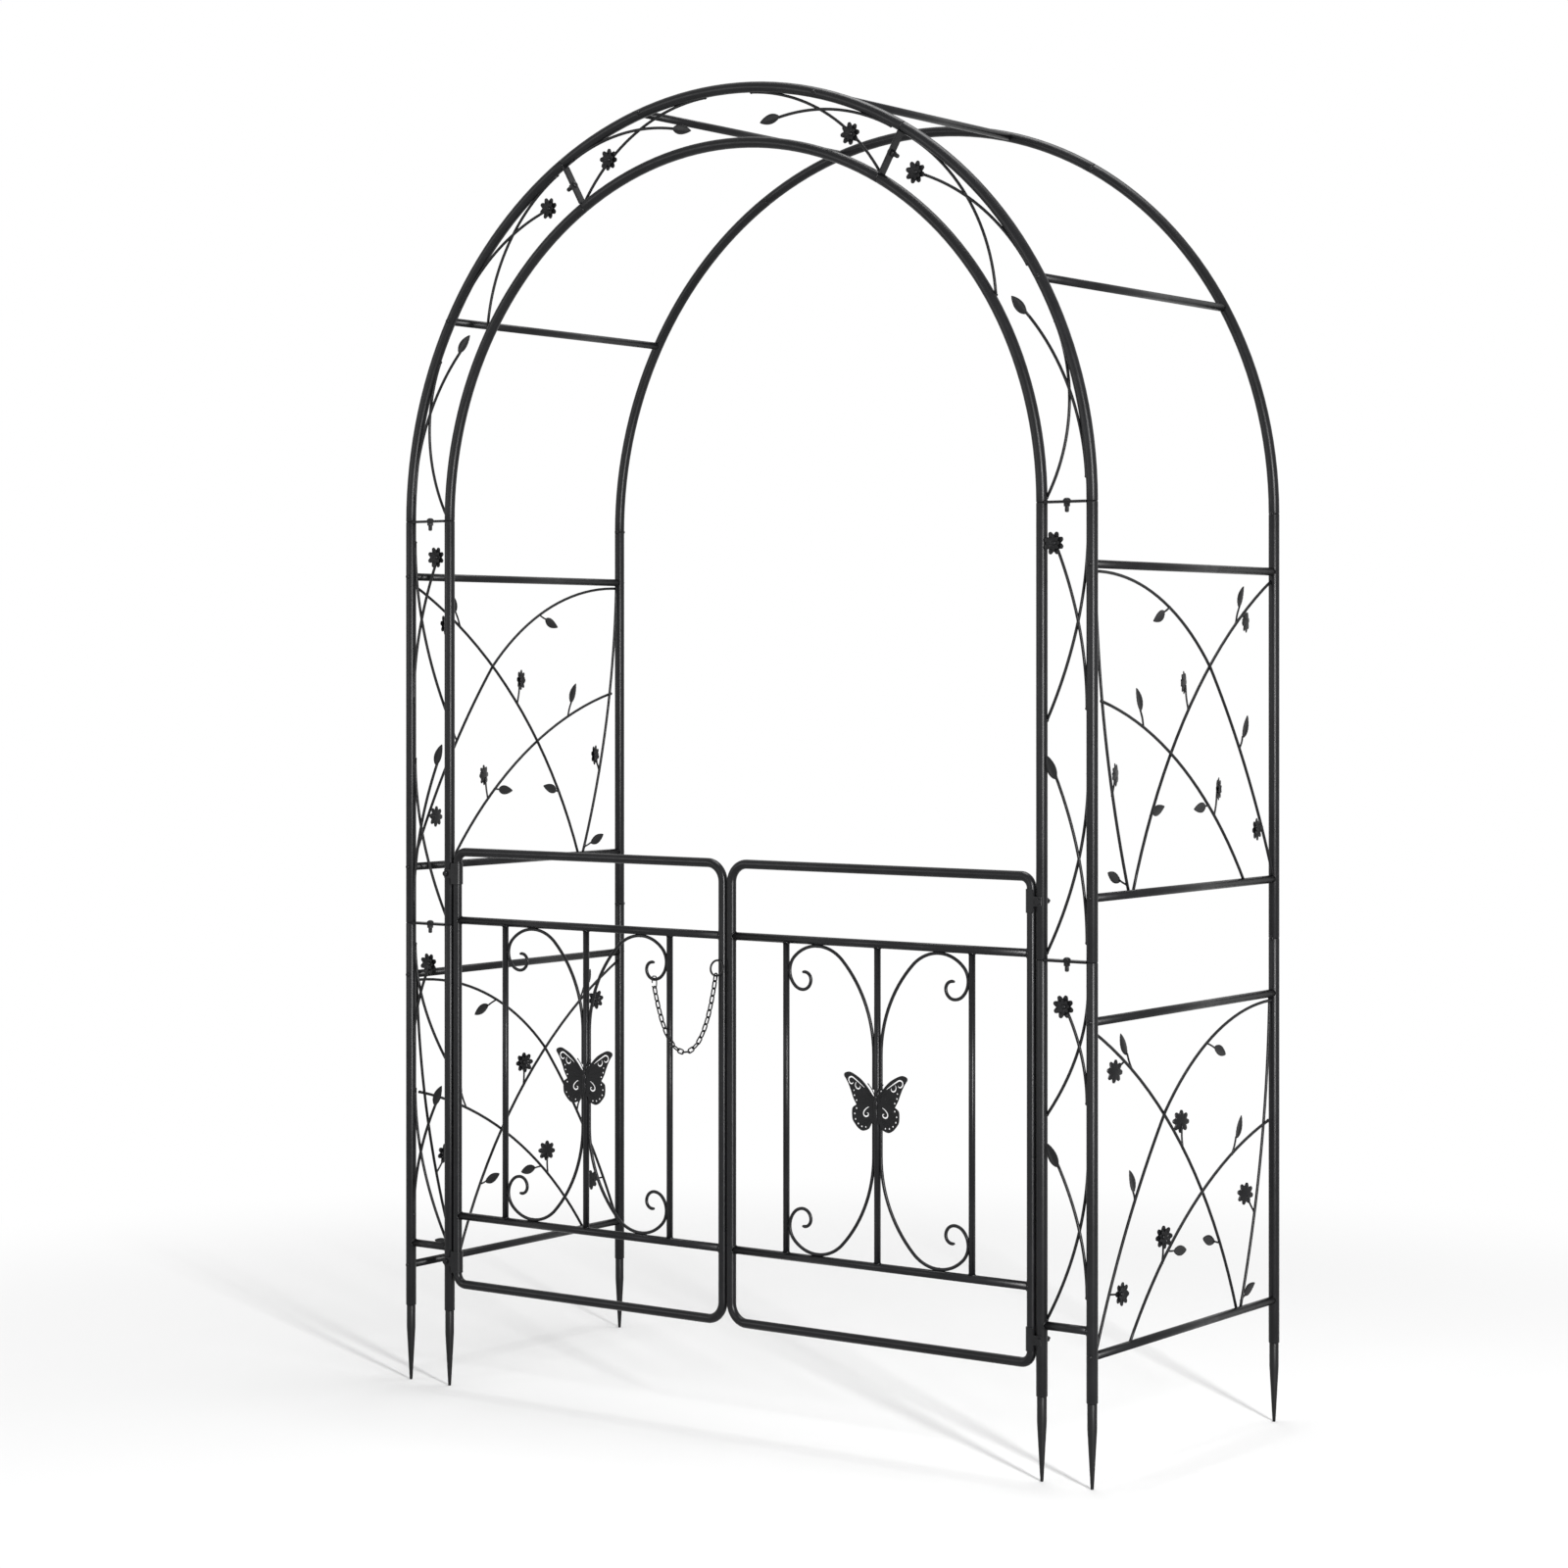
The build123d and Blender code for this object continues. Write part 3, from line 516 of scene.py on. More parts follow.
# Pressed flowers and leaves
def petal_layer(soup, place, reach, notch, lift, cup, turn):
    """One layer of eight petals, creased and cupped."""
    petals = 8
    rows = 6
    around = 64
    thick = 0.7
    crease_h = 0.55
    sheets = []
    for low in (thick, 0.0):
        rings = []
        for r in range(rows + 1):
            share = (r + 0.35) / (rows + 0.35)
            ring = []
            for a in full_turn(around):
                wave = abs(((a * petals / (2 * pi)) % 1.0) - 0.5) * 2
                edge = notch + (reach - notch) * min(1.0, wave * 1.45)
                radius = edge * share
                crease = crease_h * (wave - 0.5) * share
                height = lift + cup * share**2.2 + crease + low - 0.5 * thick
                ring.append(place @ Vector((radius * cos(a + turn), radius * sin(a + turn), height)))
            rings.append(soup.ring(ring))
        sheets.append(rings)
    top, base = sheets
    soup.skin(base + top[::-1], smooth_ends=True, flat_rows=(rows,))


def flower(soup, place):
    """Two layers of petals round a domed boss."""
    petal_layer(soup, place, reach=18.0, notch=12.6, lift=0.5, cup=2.6, turn=0.0)
    petal_layer(soup, place, reach=11.6, notch=8.2, lift=2.2, cup=2.8, turn=pi / 8)
    boss = ((3.6, 1.4), (3.7, 3.0), (3.3, 4.1), (2.4, 4.9), (1.2, 5.3), (0.3, 5.4))
    lathe(soup, boss, place, 16)


def leaf(soup, place):
    """Pointed leaf with a midrib fold and a slight curl, from its base along local X."""
    length = 38.5
    half_width = 7.8
    thick = 0.8
    rows = 18
    cols = (-1.0, -0.66, -0.33, -0.08, 0.08, 0.33, 0.66, 1.0)
    sheets = []
    for low in (thick, 0.0):
        lines = []
        for i in range(rows + 1):
            s = i / rows
            half = half_width * max(sin(pi * s**0.82), 0.0) ** 0.8 + 0.35
            line = []
            for c in cols:
                vein = 0.16 * cos((s * 7 - abs(c) * 1.3) * 2 * pi) * abs(c)
                fold = 1.9 * abs(c) * half / half_width + (0.45 if abs(c) < 0.1 else 0.0)
                height = 0.4 + fold + vein + 1.8 * s**2 - 0.9 * s + low
                line.append(place @ Vector((length * s, c * half, height)))
            lines.append(soup.ring(line))
        sheets.append(lines)
    top, base = sheets
    last = len(cols) - 1
    for i in range(rows):
        for k in range(last):
            soup.face((top[i][k], top[i + 1][k], top[i + 1][k + 1], top[i][k + 1]))
            soup.face((base[i][k], base[i][k + 1], base[i + 1][k + 1], base[i + 1][k]))
        soup.face((base[i][0], base[i + 1][0], top[i + 1][0], top[i][0]), False)
        soup.face((top[i][last], top[i + 1][last], base[i + 1][last], base[i][last]), False)
    soup.face(tuple(top[0]) + tuple(reversed(base[0])), False)
    soup.face(tuple(base[rows]) + tuple(reversed(top[rows])), False)


flowers = Soup()
leaves = Soup()

# Trellis wire on the front ladder
half_ladder = 36.0
wire_steps = 24
wire_bead = 3.0
leaf_overlap = 4
top_flower_at = 2225

# Each unit: rising wire from and to, falling wire from and to, offset at its end, what it carries
ladder_units = {
    "post": [
        (245, 500, 285, 480, -15, "leaf"),
        (553, 750, 575, 718, -2, "flower"),
        (797, 1068, 815, 1062, -18, "leaf"),
        (1147, 1440, 1165, 1413, -19, "flower"),
    ],
    "arch": [(1483, 1740, 1510, 1775, -2, "leaf"), (1830, 2120, 1835, 2080, -3, "flower")],
    "top": [(2146, 2430, 2160, 2370, -3, "leaf")],
}


def ladder_point(side, along, across, y):
    """Place on the ladder, by the way along its middle line and the way across it."""
    if along <= spring_z:
        return Vector((side * (mid_r + across), y, along))
    turn = (along - spring_z) / mid_r
    radius = mid_r + across
    return Vector((side * radius * cos(turn), y, spring_z + radius * sin(turn)))


def rising_point(side, low, high, t, y):
    """Place on a rising wire, at a share of its length."""
    return ladder_point(side, low + (high - low) * t, half_ladder - 2 * half_ladder * (1 - t) ** 2, y)


def ladder_wires(soup, units, side):
    """Crossing wires of some units, with the leaf or flower at the end of each falling wire."""
    for low, high, fall_from, fall_to, end_across, kind in units:
        rising = []
        falling = []
        for k in range(wire_steps + 1):
            t = k / wire_steps
            rising.append(rising_point(side, low, high, t, front_y + wire_r))
            across = half_ladder - (half_ladder - end_across) * t**2
            falling.append(ladder_point(side, fall_from + (fall_to - fall_from) * t, across, front_y - wire_r))
        sweep(soup, rising, wire_look_r, 12)
        sweep(soup, falling, wire_look_r, 12)
        for number, spot in enumerate((rising[0], rising[-1], falling[0])):
            bead(soup, spot, wire_bead, low + number)
        run = (falling[-1] - falling[-2]).normalized()
        end = Vector((falling[-1].x, front_y - 2 * wire_r, falling[-1].z))
        if kind == "flower":
            flower(flowers, basis(end, run, (0, -1, 0)))
        else:
            leaf(leaves, basis(end - run * leaf_overlap, run, (0, -1, 0)))


for side, sign in sides.items():
    for part in ("post", "arch"):
        soup = Soup()
        ladder_wires(soup, ladder_units[part], sign)
        look(soup, f"{side}_{part}_wires", "arch", "wire_metal")
soup = Soup()
for sign in (1, -1):
    ladder_wires(soup, ladder_units["top"], sign)
    low, high = ladder_units["top"][0][:2]
    t = (top_flower_at - low) / (high - low)
    spot = rising_point(sign, low, high, t, front_y)
    beyond = rising_point(sign, low, high, t + 0.1, front_y)
    flower(flowers, basis(spot, beyond - spot, (0, -1, 0)))
look(soup, "top_arch_wires", "arch", "wire_metal")

# Side panels, wires as arcs through three places each
panel_wires = {
    "outer": [
        [((0, 488), (199.8, 450.1), (358.2, 343.8)), ((358.2, 343.8), (479.9, 172.2), (571.1, -5))],
        [((24.1, 293.9), (239.9, 207.1), (470.1, 0))],
    ],
    "inner": [[((574, 487), (330.1, 314.9), (122.3, 0))], [((12.1, 499), (40.8, 245), (111.9, 0))]],
}
turned_panels = (("left", "upper"), ("right", "lower"))
stem_bead = 2.2
stem_in_leaf = 3
flower_seat = 13

# Each ornament: layer, wire, share of the way along it, heading in degrees, stem length, lean of a flower
panel_ornaments = [
    ("outer", 0, 0.297, -158, 21, None),
    ("outer", 0, 0.695, 68, 17.5, None),
    ("inner", 0, 0.212, 62, 29, None),
    ("outer", 1, 0.238, 114, 26.5, None),
    ("inner", 0, 0.81, 15, 11.5, None),
    ("inner", 1, 0.97, 158, 17, None),
    ("outer", 1, 0.68, -175, 14, None),
    ("outer", 0, 0.877, -175, 15, 4),
    ("inner", 0, 0.167, -36, 10.5, 10),
    ("inner", 0, 0.515, 94, 29, 16),
    ("inner", 1, 0.69, 57, 24, 16),
    ("outer", 1, 0.725, 86, 28.5, 16),
]


def arc_through(a, b, c, count=20):
    """Points of the arc through three places in a plane."""
    ax, ay = a
    bx, by = b
    cx, cy = c
    d = 2 * (ax * (by - cy) + bx * (cy - ay) + cx * (ay - by))
    ux = ((ax**2 + ay**2) * (by - cy) + (bx**2 + by**2) * (cy - ay) + (cx**2 + cy**2) * (ay - by)) / d
    uy = ((ax**2 + ay**2) * (cx - bx) + (bx**2 + by**2) * (ax - cx) + (cx**2 + cy**2) * (bx - ax)) / d
    centre = Vector((ux, uy))
    first = Vector(a) - centre
    last = Vector(c) - centre
    sweep_angle = first.angle_signed(last)
    return [tuple(centre + Matrix.Rotation(-sweep_angle * i / count, 2) @ first) for i in range(count + 1)]


def panel_point(place, x, base_z, swap):
    """Place on a side panel, turned front to back where asked."""
    y = depth - place[0] if swap else place[0]
    return Vector((x, front_y + y, base_z + place[1]))


def stemmed(line, outward, share, heading, stem, lean, seed):
    """Leaf, or flower with a lean about Z, on a bent stem welded to a wire."""
    place = share * (len(line) - 1)
    seat = line[int(place)].lerp(line[int(place) + 1], place % 1) + outward * wire_r * 0.4
    way = Vector((0, cos(heading), sin(heading)))
    base = seat + outward * wire_r * 0.6
    if lean is None:
        soup = leaves
        leaf(soup, basis(base + way * stem, way, outward))
        stem_end = base + way * (stem + stem_in_leaf)
    else:
        soup = flowers
        middle = base + way * (stem + flower_seat) + outward * 1.5
        flower(soup, basis(middle, way, Matrix.Rotation(lean, 3, "Z") @ outward))
        stem_end = middle - way * 4 + outward * 0.5
    bend = seat.lerp(stem_end, 0.5) + outward * 1.0
    sweep(soup, smooth_line([seat, bend, stem_end], 5), stem_look_r, 8)
    bead(soup, seat, stem_bead, seed)


for side, sign in sides.items():
    for panel, base_z in panel_z.items():
        swap = (side, panel) in turned_panels
        lean_sign = -sign if swap else sign
        outs = {"outer": sign, "inner": -sign}
        soup = Soup()
        lines = {}
        for layer, out in outs.items():
            x = sign * arch_r + out * wire_r
            for number, arcs in enumerate(panel_wires[layer]):
                places = []
                for arc in arcs:
                    places += arc_through(*arc)[: None if arc is arcs[-1] else -1]
                line = [panel_point(p, x, base_z, swap) for p in places]
                sweep(soup, line, wire_look_r, 12)
                bead(soup, line[0], wire_bead, base_z + out)
                bead(soup, line[-1], wire_bead, base_z - out)
                lines[layer, number] = line
        for number, (layer, wire, share, heading, stem, lean) in enumerate(panel_ornaments):
            outward = Vector((outs[layer], 0, 0))
            turn = radians(180 - heading if swap else heading)
            lean = None if lean is None else radians(lean * lean_sign)
            stemmed(lines[layer, wire], outward, share, turn, stem, lean, number)
        look(soup, f"{side}_{panel}_panel_wires", "arch", "wire_metal")
look(flowers, "trellis_flowers", "arch", "ornament_metal")
look(leaves, "trellis_leaves", "arch", "ornament_metal")


# Gate leaves
def turned(start, heading, arcs):
    """Points of a line in the XZ plane made of arcs of a radius and a turn."""
    step = 3.0
    points = [Vector(start)]
    angle = radians(heading)
    for radius, turn in arcs:
        chords = max(2, int(abs(turn) / step))
        part = radians(turn) / chords
        for _ in range(chords):
            run = 2 * radius * sin(abs(part) / 2)
            angle += part / 2
            points.append(points[-1] + Vector((run * cos(angle), 0, run * sin(angle))))
            angle += part / 2
    return points


def gate_loop():
    """Middle line of the right leaf's bent tube."""
    steps = 12
    corners = (
        (hinge_x, gate_bottom_z, hinge_corner_r, 0),
        (hinge_x, gate_top_z, hinge_corner_r, 90),
        (meeting_look_x, gate_top_z, meeting_corner_r, 180),
        (meeting_look_x, gate_bottom_z, meeting_corner_r, 270),
    )
    points = []
    for x, z, radius, heading in corners:
        inward = radians(heading + 135)
        centre_x = x + radius * sqrt(2) * cos(inward)
        centre_z = z + radius * sqrt(2) * sin(inward)
        for i in range(steps + 1):
            a = radians(heading - 90 + 90 / steps * i)
            points.append(Vector((centre_x + radius * cos(a), front_y, centre_z + radius * sin(a))))
    return points


# Scroll: stalk beside the middle rod, shoulder under the rail and curl beside the outer rod, arcs by radius and turn
curl = ((62.0, 45), (32.0, 90), (22.0, 45), (16.0, 90), (12.0, 110))
shoulder_r = 68.0
scroll_tail = 53.0
tail_weld = 1.5
scroll_play = 0.1
scroll_bead = 2.9
rail_inset = 3
rod_weld = 1.1
diagonal = sqrt(0.5)
scroll_reach = rod_r + scroll_r + scroll_play
scroll_top_z = high_rail_z - bar_r - scroll_r - scroll_play
scroll_top_x = middle_x - rod_spacing + scroll_reach + diagonal * curl[0][0] + (1 - diagonal) * curl[1][0]
stalk_x = middle_x - scroll_reach
stalk_r = (stalk_x - scroll_top_x - diagonal * shoulder_r) / (1 - diagonal)
stalk_top_z = scroll_top_z - diagonal * stalk_r - (1 - diagonal) * shoulder_r
scroll_line = [Vector((stalk_x, front_y, stalk_top_z - drop)) for drop in (scroll_tail, scroll_tail - tail_weld)]
scroll_line += turned((stalk_x, front_y, stalk_top_z), 90, ((stalk_r, 45), (shoulder_r, 45)) + curl)


def tapered(path):
    """Scales of a wire that thins toward its last point."""
    tip = 0.55
    over = 7
    scales = [1.0] * len(path)
    for k in range(over):
        scales[-1 - k] = tip + (1 - tip) * sqrt(k / over)
    return scales


def gate_scroll(soup, sign, flip_x, flip_z):
    """One of a leaf's four scrolls, with its three welds."""
    line = []
    for p in scroll_line:
        x = middle_x + flip_x * (p.x - middle_x)
        z = mid_z + flip_z * (p.z - mid_z)
        line.append(Vector((sign * x, front_y, z)))
    sweep(soup, line, scroll_look_r, 12, scales=tapered(line))
    outer_x = sign * (middle_x - flip_x * rod_spacing)
    near = min(line, key=lambda p: abs(p.x - outer_x))
    high = max(line, key=lambda p: flip_z * p.z)
    for seed, spot in enumerate((line[1], near.lerp(Vector((outer_x, near.y, near.z)), 0.4), high)):
        bead(soup, spot, scroll_bead, seed + flip_x)


# Butterfly outline, half of it, with the cut lines and holes of one wing pair
wing_parts = (
    ((0, 14), (4, 13.4), (8, 12)),
    ((8, 12), (10.5, 7), (14, 3), (24, 0), (32, 3.2), (38, 9), (42.6, 15), (44, 20), (44.4, 28), (43, 35), (36, 40)),
    (
        (36, 40), (42, 50), (46, 60), (51, 71), (56, 79), (59, 83), (59.2, 86.5),
        (56, 89), (48, 90), (36, 85), (25, 78), (14, 67), (6, 57),
    ),
    ((6, 57), (3, 54.6), (0, 54)),
)
upper_cut = (
    (20.5, 67.2), (30, 73.8), (38, 79), (44.5, 82.6), (49.6, 81.2),
    (50.9, 76.6), (47.8, 72.4), (43.8, 72.2), (42.2, 75),
)
middle_cut = ((36.4, 75.4), (38.4, 70.8), (36.6, 66.2), (32.8, 64.6), (29.4, 66.6), (29.6, 70))
lower_cut = (
    (12.2, 38.3), (17.9, 34.8), (22.3, 29.6), (22.2, 24.9), (18.4, 22.6), (14.2, 24.3), (13.6, 27.6), (16.6, 28.4),
)
cut_lines = ((upper_cut, 1.3), (middle_cut, 1.2), (lower_cut, 1.3))
spots = (
    (41, 61.8, 1.35), (40, 54.1, 1.5), (36, 46.6, 1.5), (36, 34.2, 1.5), (39.4, 25.6, 1.5), (37.9, 17, 1.5),
    (32.6, 10.4, 1.5), (25.9, 6.5, 1.5), (18.4, 6.2, 1.4),
)
veins = (
    ((10, 18), (15.4, 12.6), (17.6, 9.4)),
    ((11.4, 18.6), (19.4, 13.4), (24, 9.6)),
    ((13, 19.4), (23, 15.4), (30, 12.6)),
    ((23.6, 20.6), (29.4, 18.4), (35, 17.6)),
    ((25.6, 23.8), (31, 24), (36.4, 25)),
    ((26, 28), (30, 30), (33.4, 32.6)),
    ((8, 45), (18, 44.2), (31.5, 43.4)),
    ((8.4, 48), (20, 50.6), (36, 55.4)),
    ((7.6, 50.6), (13, 56.4), (25, 62.6), (37.6, 61.4)),
    ((6.8, 53.4), (12.6, 61), (18.6, 68), (28, 76.4), (40, 83.6)),
)
feeler = ((1.6, 54.6), (4.4, 61.4), (8.8, 68), (14.6, 74.4))
vein_r = 0.42
feeler_r = 0.7
wing_drop = 40

# Half width, place and height of the body ridge from tail to head
body_shape = (
    (0.8, 12.6, 0.5), (2.6, 16.5, 1.6), (3.5, 23, 2.2), (3.6, 30, 2.3), (3.1, 35, 2.1), (4.0, 41, 2.6),
    (3.7, 46.5, 2.4), (2.3, 49.4, 1.7), (3.0, 52.6, 2.1), (2.2, 55.4, 1.5), (0.7, 56.8, 0.5),
)
ripple_end = 34


def slot_outline(points, width):
    """Thin cut with pointed ends along a smooth line."""
    line = flat_line(points, 5)
    left = []
    right = []
    for i, point in enumerate(line):
        run = (line[min(i + 1, len(line) - 1)] - line[max(i - 1, 0)]).normalized()
        half_width = width * (0.35 + 0.65 * sin(pi * i / (len(line) - 1)) ** 0.6)
        across = Vector((-run.y, run.x, 0)) * half_width
        left.append(point + across)
        right.append(point - across)
    return left + right[::-1]


def wing_shapes():
    """Outline of the plate, then its cuts and holes."""
    outline = []
    for part in wing_parts:
        outline += flat_line(part, 4)[:-1]
    outline.append(Vector((*wing_parts[-1][-1], 0)))
    other = [Vector((-p.x, p.y, 0)) for p in reversed(outline[1:-1])]
    shapes = [outline + other]
    for flip in (1, -1):
        for points, width in cut_lines:
            shapes.append([Vector((p.x * flip, p.y, 0)) for p in slot_outline(points, width)])
        for u, w, r in spots:
            shapes.append([Vector((flip * (u + r * cos(a)), w + r * sin(a), 0)) for a in full_turn(14)])
    return shapes


def cut_sheet(soup, name, shapes, place):
    """Plate with eased edges, filled between outlines and put in place by a matrix."""
    ease = 0.2
    flat = bpy.data.curves.new(name, "CURVE")
    flat.dimensions = "2D"
    flat.fill_mode = "BOTH"
    flat.extrude = sheet_t / 2 - ease
    flat.bevel_depth = ease
    flat.bevel_resolution = 1
    for shape in shapes:
        spline = flat.splines.new("POLY")
        spline.points.add(len(shape) - 1)
        spline.use_cyclic_u = True
        for point, spot in zip(spline.points, shape):
            point.co = (spot.x, spot.y, 0, 1)
    cutter = bpy.data.objects.new(name, flat)
    bpy.context.scene.collection.objects.link(cutter)
    bpy.context.view_layer.update()
    sheet = cutter.evaluated_get(bpy.context.evaluated_depsgraph_get()).to_mesh()
    index = soup.ring([place @ v.co for v in sheet.vertices])
    for polygon in sheet.polygons:
        soup.face(tuple(index[i] for i in polygon.vertices), False)
    bpy.data.objects.remove(cutter)
    bpy.data.curves.remove(flat)


def butterfly(side, sign):
    """Pressed plate in front of the middle rod, cut through and veined."""
    soup = Soup()
    place = basis((sign * middle_x, front_y - rod_r - sheet_t / 2, mid_z - wing_drop), (1, 0, 0), (0, -1, 0))
    cut_sheet(soup, f"{side}_wing_cut", wing_shapes(), place)
    front = place @ Matrix.Translation((0, 0, sheet_t / 2))
    for flip in (1, -1):
        for vein in veins:
            line = [front @ Vector((flip * p.x, p.y, 0.05)) for p in flat_line(vein, 5)]
            sweep(soup, line, vein_r, 6)
    rings = []
    for step, (half_width, along, height) in enumerate(smooth_line(body_shape, 6)):
        ripple = 1 + 0.05 * cos(step * 2.1) if along < ripple_end else 1
        ring = []
        for k in range(13):
            a = pi * k / 12
            ring.append(front @ Vector((half_width * ripple * cos(a), along, height * ripple * sin(a))))
        rings.append(soup.ring(ring))
    soup.skin(rings[::-1], smooth_ends=True)
    for flip in (1, -1):
        line = smooth_line([place @ Vector((flip * u, w, 0.2)) for u, w in feeler], 6)
        sweep(soup, line, feeler_r, 8, scales=[1.0] * (len(line) - 3) + [1.3, 1.5, 1.0])
    look(soup, f"{side}_gate_butterfly", f"{side}_gate", "ornament_metal")


for side, sign in sides.items():
    body = f"{side}_gate"
    soup = Soup()
    sweep(soup, [Vector((sign * p.x, p.y, p.z)) for p in gate_loop()], gate_look_r, 24, closed=True)
    look(soup, f"{side}_gate_frame", body, "gate_metal")
    soup = Soup()
    for z in (low_rail_z, high_rail_z):
        meeting, hinge = (Vector((sign * x, front_y, z)) for x in (meeting_look_x, hinge_x))
        welded_bar(soup, meeting, hinge, up, bar_look_r, gate_look_r, rail_inset, bar_weld)
    look(soup, f"{side}_gate_rails", body, "gate_metal")
    soup = Soup()
    for i in (-1, 0, 1):
        x = sign * (middle_x + i * rod_spacing)
        low, high = (Vector((x, front_y, z)) for z in (low_rail_z, high_rail_z))
        welded_bar(soup, low, high, sideways, rod_look_r, bar_look_r, rail_inset, rod_weld)
    look(soup, f"{side}_gate_rods", body, "gate_metal")
    soup = Soup()
    for flip_x in (1, -1):
        for flip_z in (1, -1):
            gate_scroll(soup, sign, flip_x, flip_z)
    look(soup, f"{side}_gate_scrolls", body, "gate_metal")
    butterfly(side, sign)

# Hinge straps, bent from sheet round the stile and bolted through the post
strap_h = 36.0
ear_h = 15.0
ear_turn = radians(33)
ear_steps = 4
stile_steps = 12
strap_t = 1.5
strap_play = 0.05
stile_turn = gate_look_r + strap_play
post_turn = post_r + strap_play
ear_y = post_turn + strap_t
strap_levels = (-1, -0.96, 0.96, 1)
hinge_head = (5.0, 3.5)
hinge_nut = (5.5, 5.0)
hinge_nut_at = 0.1
straps = Soup()
hinge_bolts = Soup()
hinge_nuts = Soup()
strap_lean = asin((post_turn - stile_turn) / (inner_r - hinge_x))


def strap_spots(centre, radius, angle):
    """Places inside and outside the sheet at an angle about a tube."""
    way = Vector((cos(angle), sin(angle)))
    return [Vector((centre, 0)) + way * r for r in (radius, radius + strap_t)]


# Half of the bent strap: inside place, outside place and height, from the ear to the back of the stile
half_strap = []
for k in range(ear_steps + 1):
    a = pi / 2 + strap_lean - ear_turn * (1 - k / ear_steps)
    half_strap.append((*strap_spots(inner_r, post_turn, a), ear_h))
stile_angles = [pi / 2 + strap_lean + (pi / 2 - strap_lean) * k / stile_steps for k in range(stile_steps + 1)]
arc = [(*strap_spots(hinge_x, stile_turn, a), strap_h) for a in stile_angles]
ear_end = half_strap[-1]
for share, tall in ((0.5, ear_h), (0.55, strap_h)):
    half_strap.append((ear_end[0].lerp(arc[0][0], share), ear_end[1].lerp(arc[0][1], share), tall))
half_strap += arc
flip_y = Vector((1, -1))
whole_strap = half_strap + [(a * flip_y, b * flip_y, tall) for a, b, tall in reversed(half_strap[:-1])]
for sign in (-1, 1):
    for z in hinge_z:
        rings = []
        for inside, outside, tall in whole_strap:
            ring = []
            for spot, levels in ((inside, strap_levels), (outside, strap_levels[::-1])):
                ring += [Vector((sign * spot.x, front_y + spot.y, z + h * tall / 2)) for h in levels]
            rings.append(straps.ring(ring))
        straps.skin(rings[::sign], flat_sides=(3, 7))
        ahead = basis((sign * inner_r, front_y - ear_y, z), up, (0, -1, 0))
        hexagon(hinge_bolts, ahead, *hinge_head)
        behind = basis((sign * inner_r, front_y + ear_y, z), up, (0, 1, 0))
        threaded(hinge_bolts, behind, radius=2.5, start=-4.0, end=12.0, pitch=0.9)
        hexagon(hinge_nuts, behind @ Matrix.Translation((0, 0, hinge_nut_at)), *hinge_nut)
look(straps, "hinge_straps", "arch", "hardware_metal")
look(hinge_bolts, "hinge_bolts", "arch", "hardware_metal")
look(hinge_nuts, "hinge_nuts", "arch", "hardware_metal")

# Ring on the left meeting stile, drawn a little smaller across than the solid one
ring_r = 12.5
ring_solid_r = 12.8
ring_x = -12.5
ring_z = 743.0
ring_back = 8.6
ring_bead = 2.3
ring_lean = radians(12)
ring_at = Vector((ring_x, front_y - ring_back - ring_solid_r * sin(ring_lean), ring_z))
up_ring = Vector((0, sin(ring_lean), cos(ring_lean)))
soup = Soup()
circle = [ring_at + sideways * ring_r * cos(a) + up_ring * ring_r * sin(a) for a in full_turn(40)]
sweep(soup, circle, ring_look_r, 14, True)
bead(soup, ring_at + up_ring * (ring_r - 0.3) + Vector((0.6, 1.0, 0)), ring_bead, 5)
look(soup, "chain_ring", "left_gate", "chain_metal")

# Chain hanging from the curl to the ring, between the same two places as in the solids
hook_place = Vector((-148.829, front_y, 716.742))
ring_foot = Vector((ring_x, -292.582, 730.906))
hang_lean = radians(5.2)
ring_wire = 3.0
ring_play = 0.85
hook_l = 14.0
hook_wire_r = 1.0
hook_play = 0.7
link_count = 24
link_pitch = 11.9
link_r = 3.5
link_wire = 2.1
link_play = 0.4
link_bead = 1.4
along = (ring_foot - hook_place).normalized()
level_out = Vector((along.y, -along.x, 0)).normalized()
steep = along.cross(level_out)
if steep.z > 0:
    steep = -steep
down = steep * cos(hang_lean) + level_out * sin(hang_lean)
out = along.cross(down).normalized()
span = (ring_foot - hook_place).length
hang_start = hook_l - hook_wire_r - hook_play
hang_end = -ring_wire * diagonal - ring_play
chain_l = link_count * link_pitch
drop = hang_start - hang_end

# Size of the hanging curve that fits the chain's length, found by halving
low_sag, high_sag = 10.0, 1000.0
for _ in range(60):
    sag = (low_sag + high_sag) / 2
    if 2 * sag * sinh(span / 2 / sag) > sqrt(chain_l**2 - drop**2):
        low_sag = sag
    else:
        high_sag = sag
low_u = span / 2 - sag * atanh(drop / chain_l)
low_s = sag * sinh(low_u / sag)


def hanging(s):
    """Place on the hanging curve at a length along it from the hook."""
    u = low_u + sag * asinh((s - low_s) / sag)
    rise = sqrt(sag**2 + (s - low_s) ** 2) - sqrt(sag**2 + low_s**2)
    return hook_place + along * u + down * (hang_start - rise)


soup = Soup()
straight = (link_pitch + link_wire - link_play) / 2 - link_r
for i in range(link_count):
    centre = hanging((i + 0.5) * link_pitch)
    run = (hanging((i + 0.6) * link_pitch) - hanging((i + 0.4) * link_pitch)).normalized()
    wide = out.cross(run).normalized() if i % 2 == 0 else out
    loop = []
    for end, start in ((1, -90), (-1, 90)):
        for k in range(11):
            a = radians(start + 18 * k)
            loop.append(centre + run * (end * straight + link_r * cos(a)) + wide * link_r * sin(a))
    sweep(soup, loop, link_look_r, 10, True)
    bead(soup, centre + wide * link_r, link_bead, i)
look(soup, "chain_links", "chain", "chain_metal")

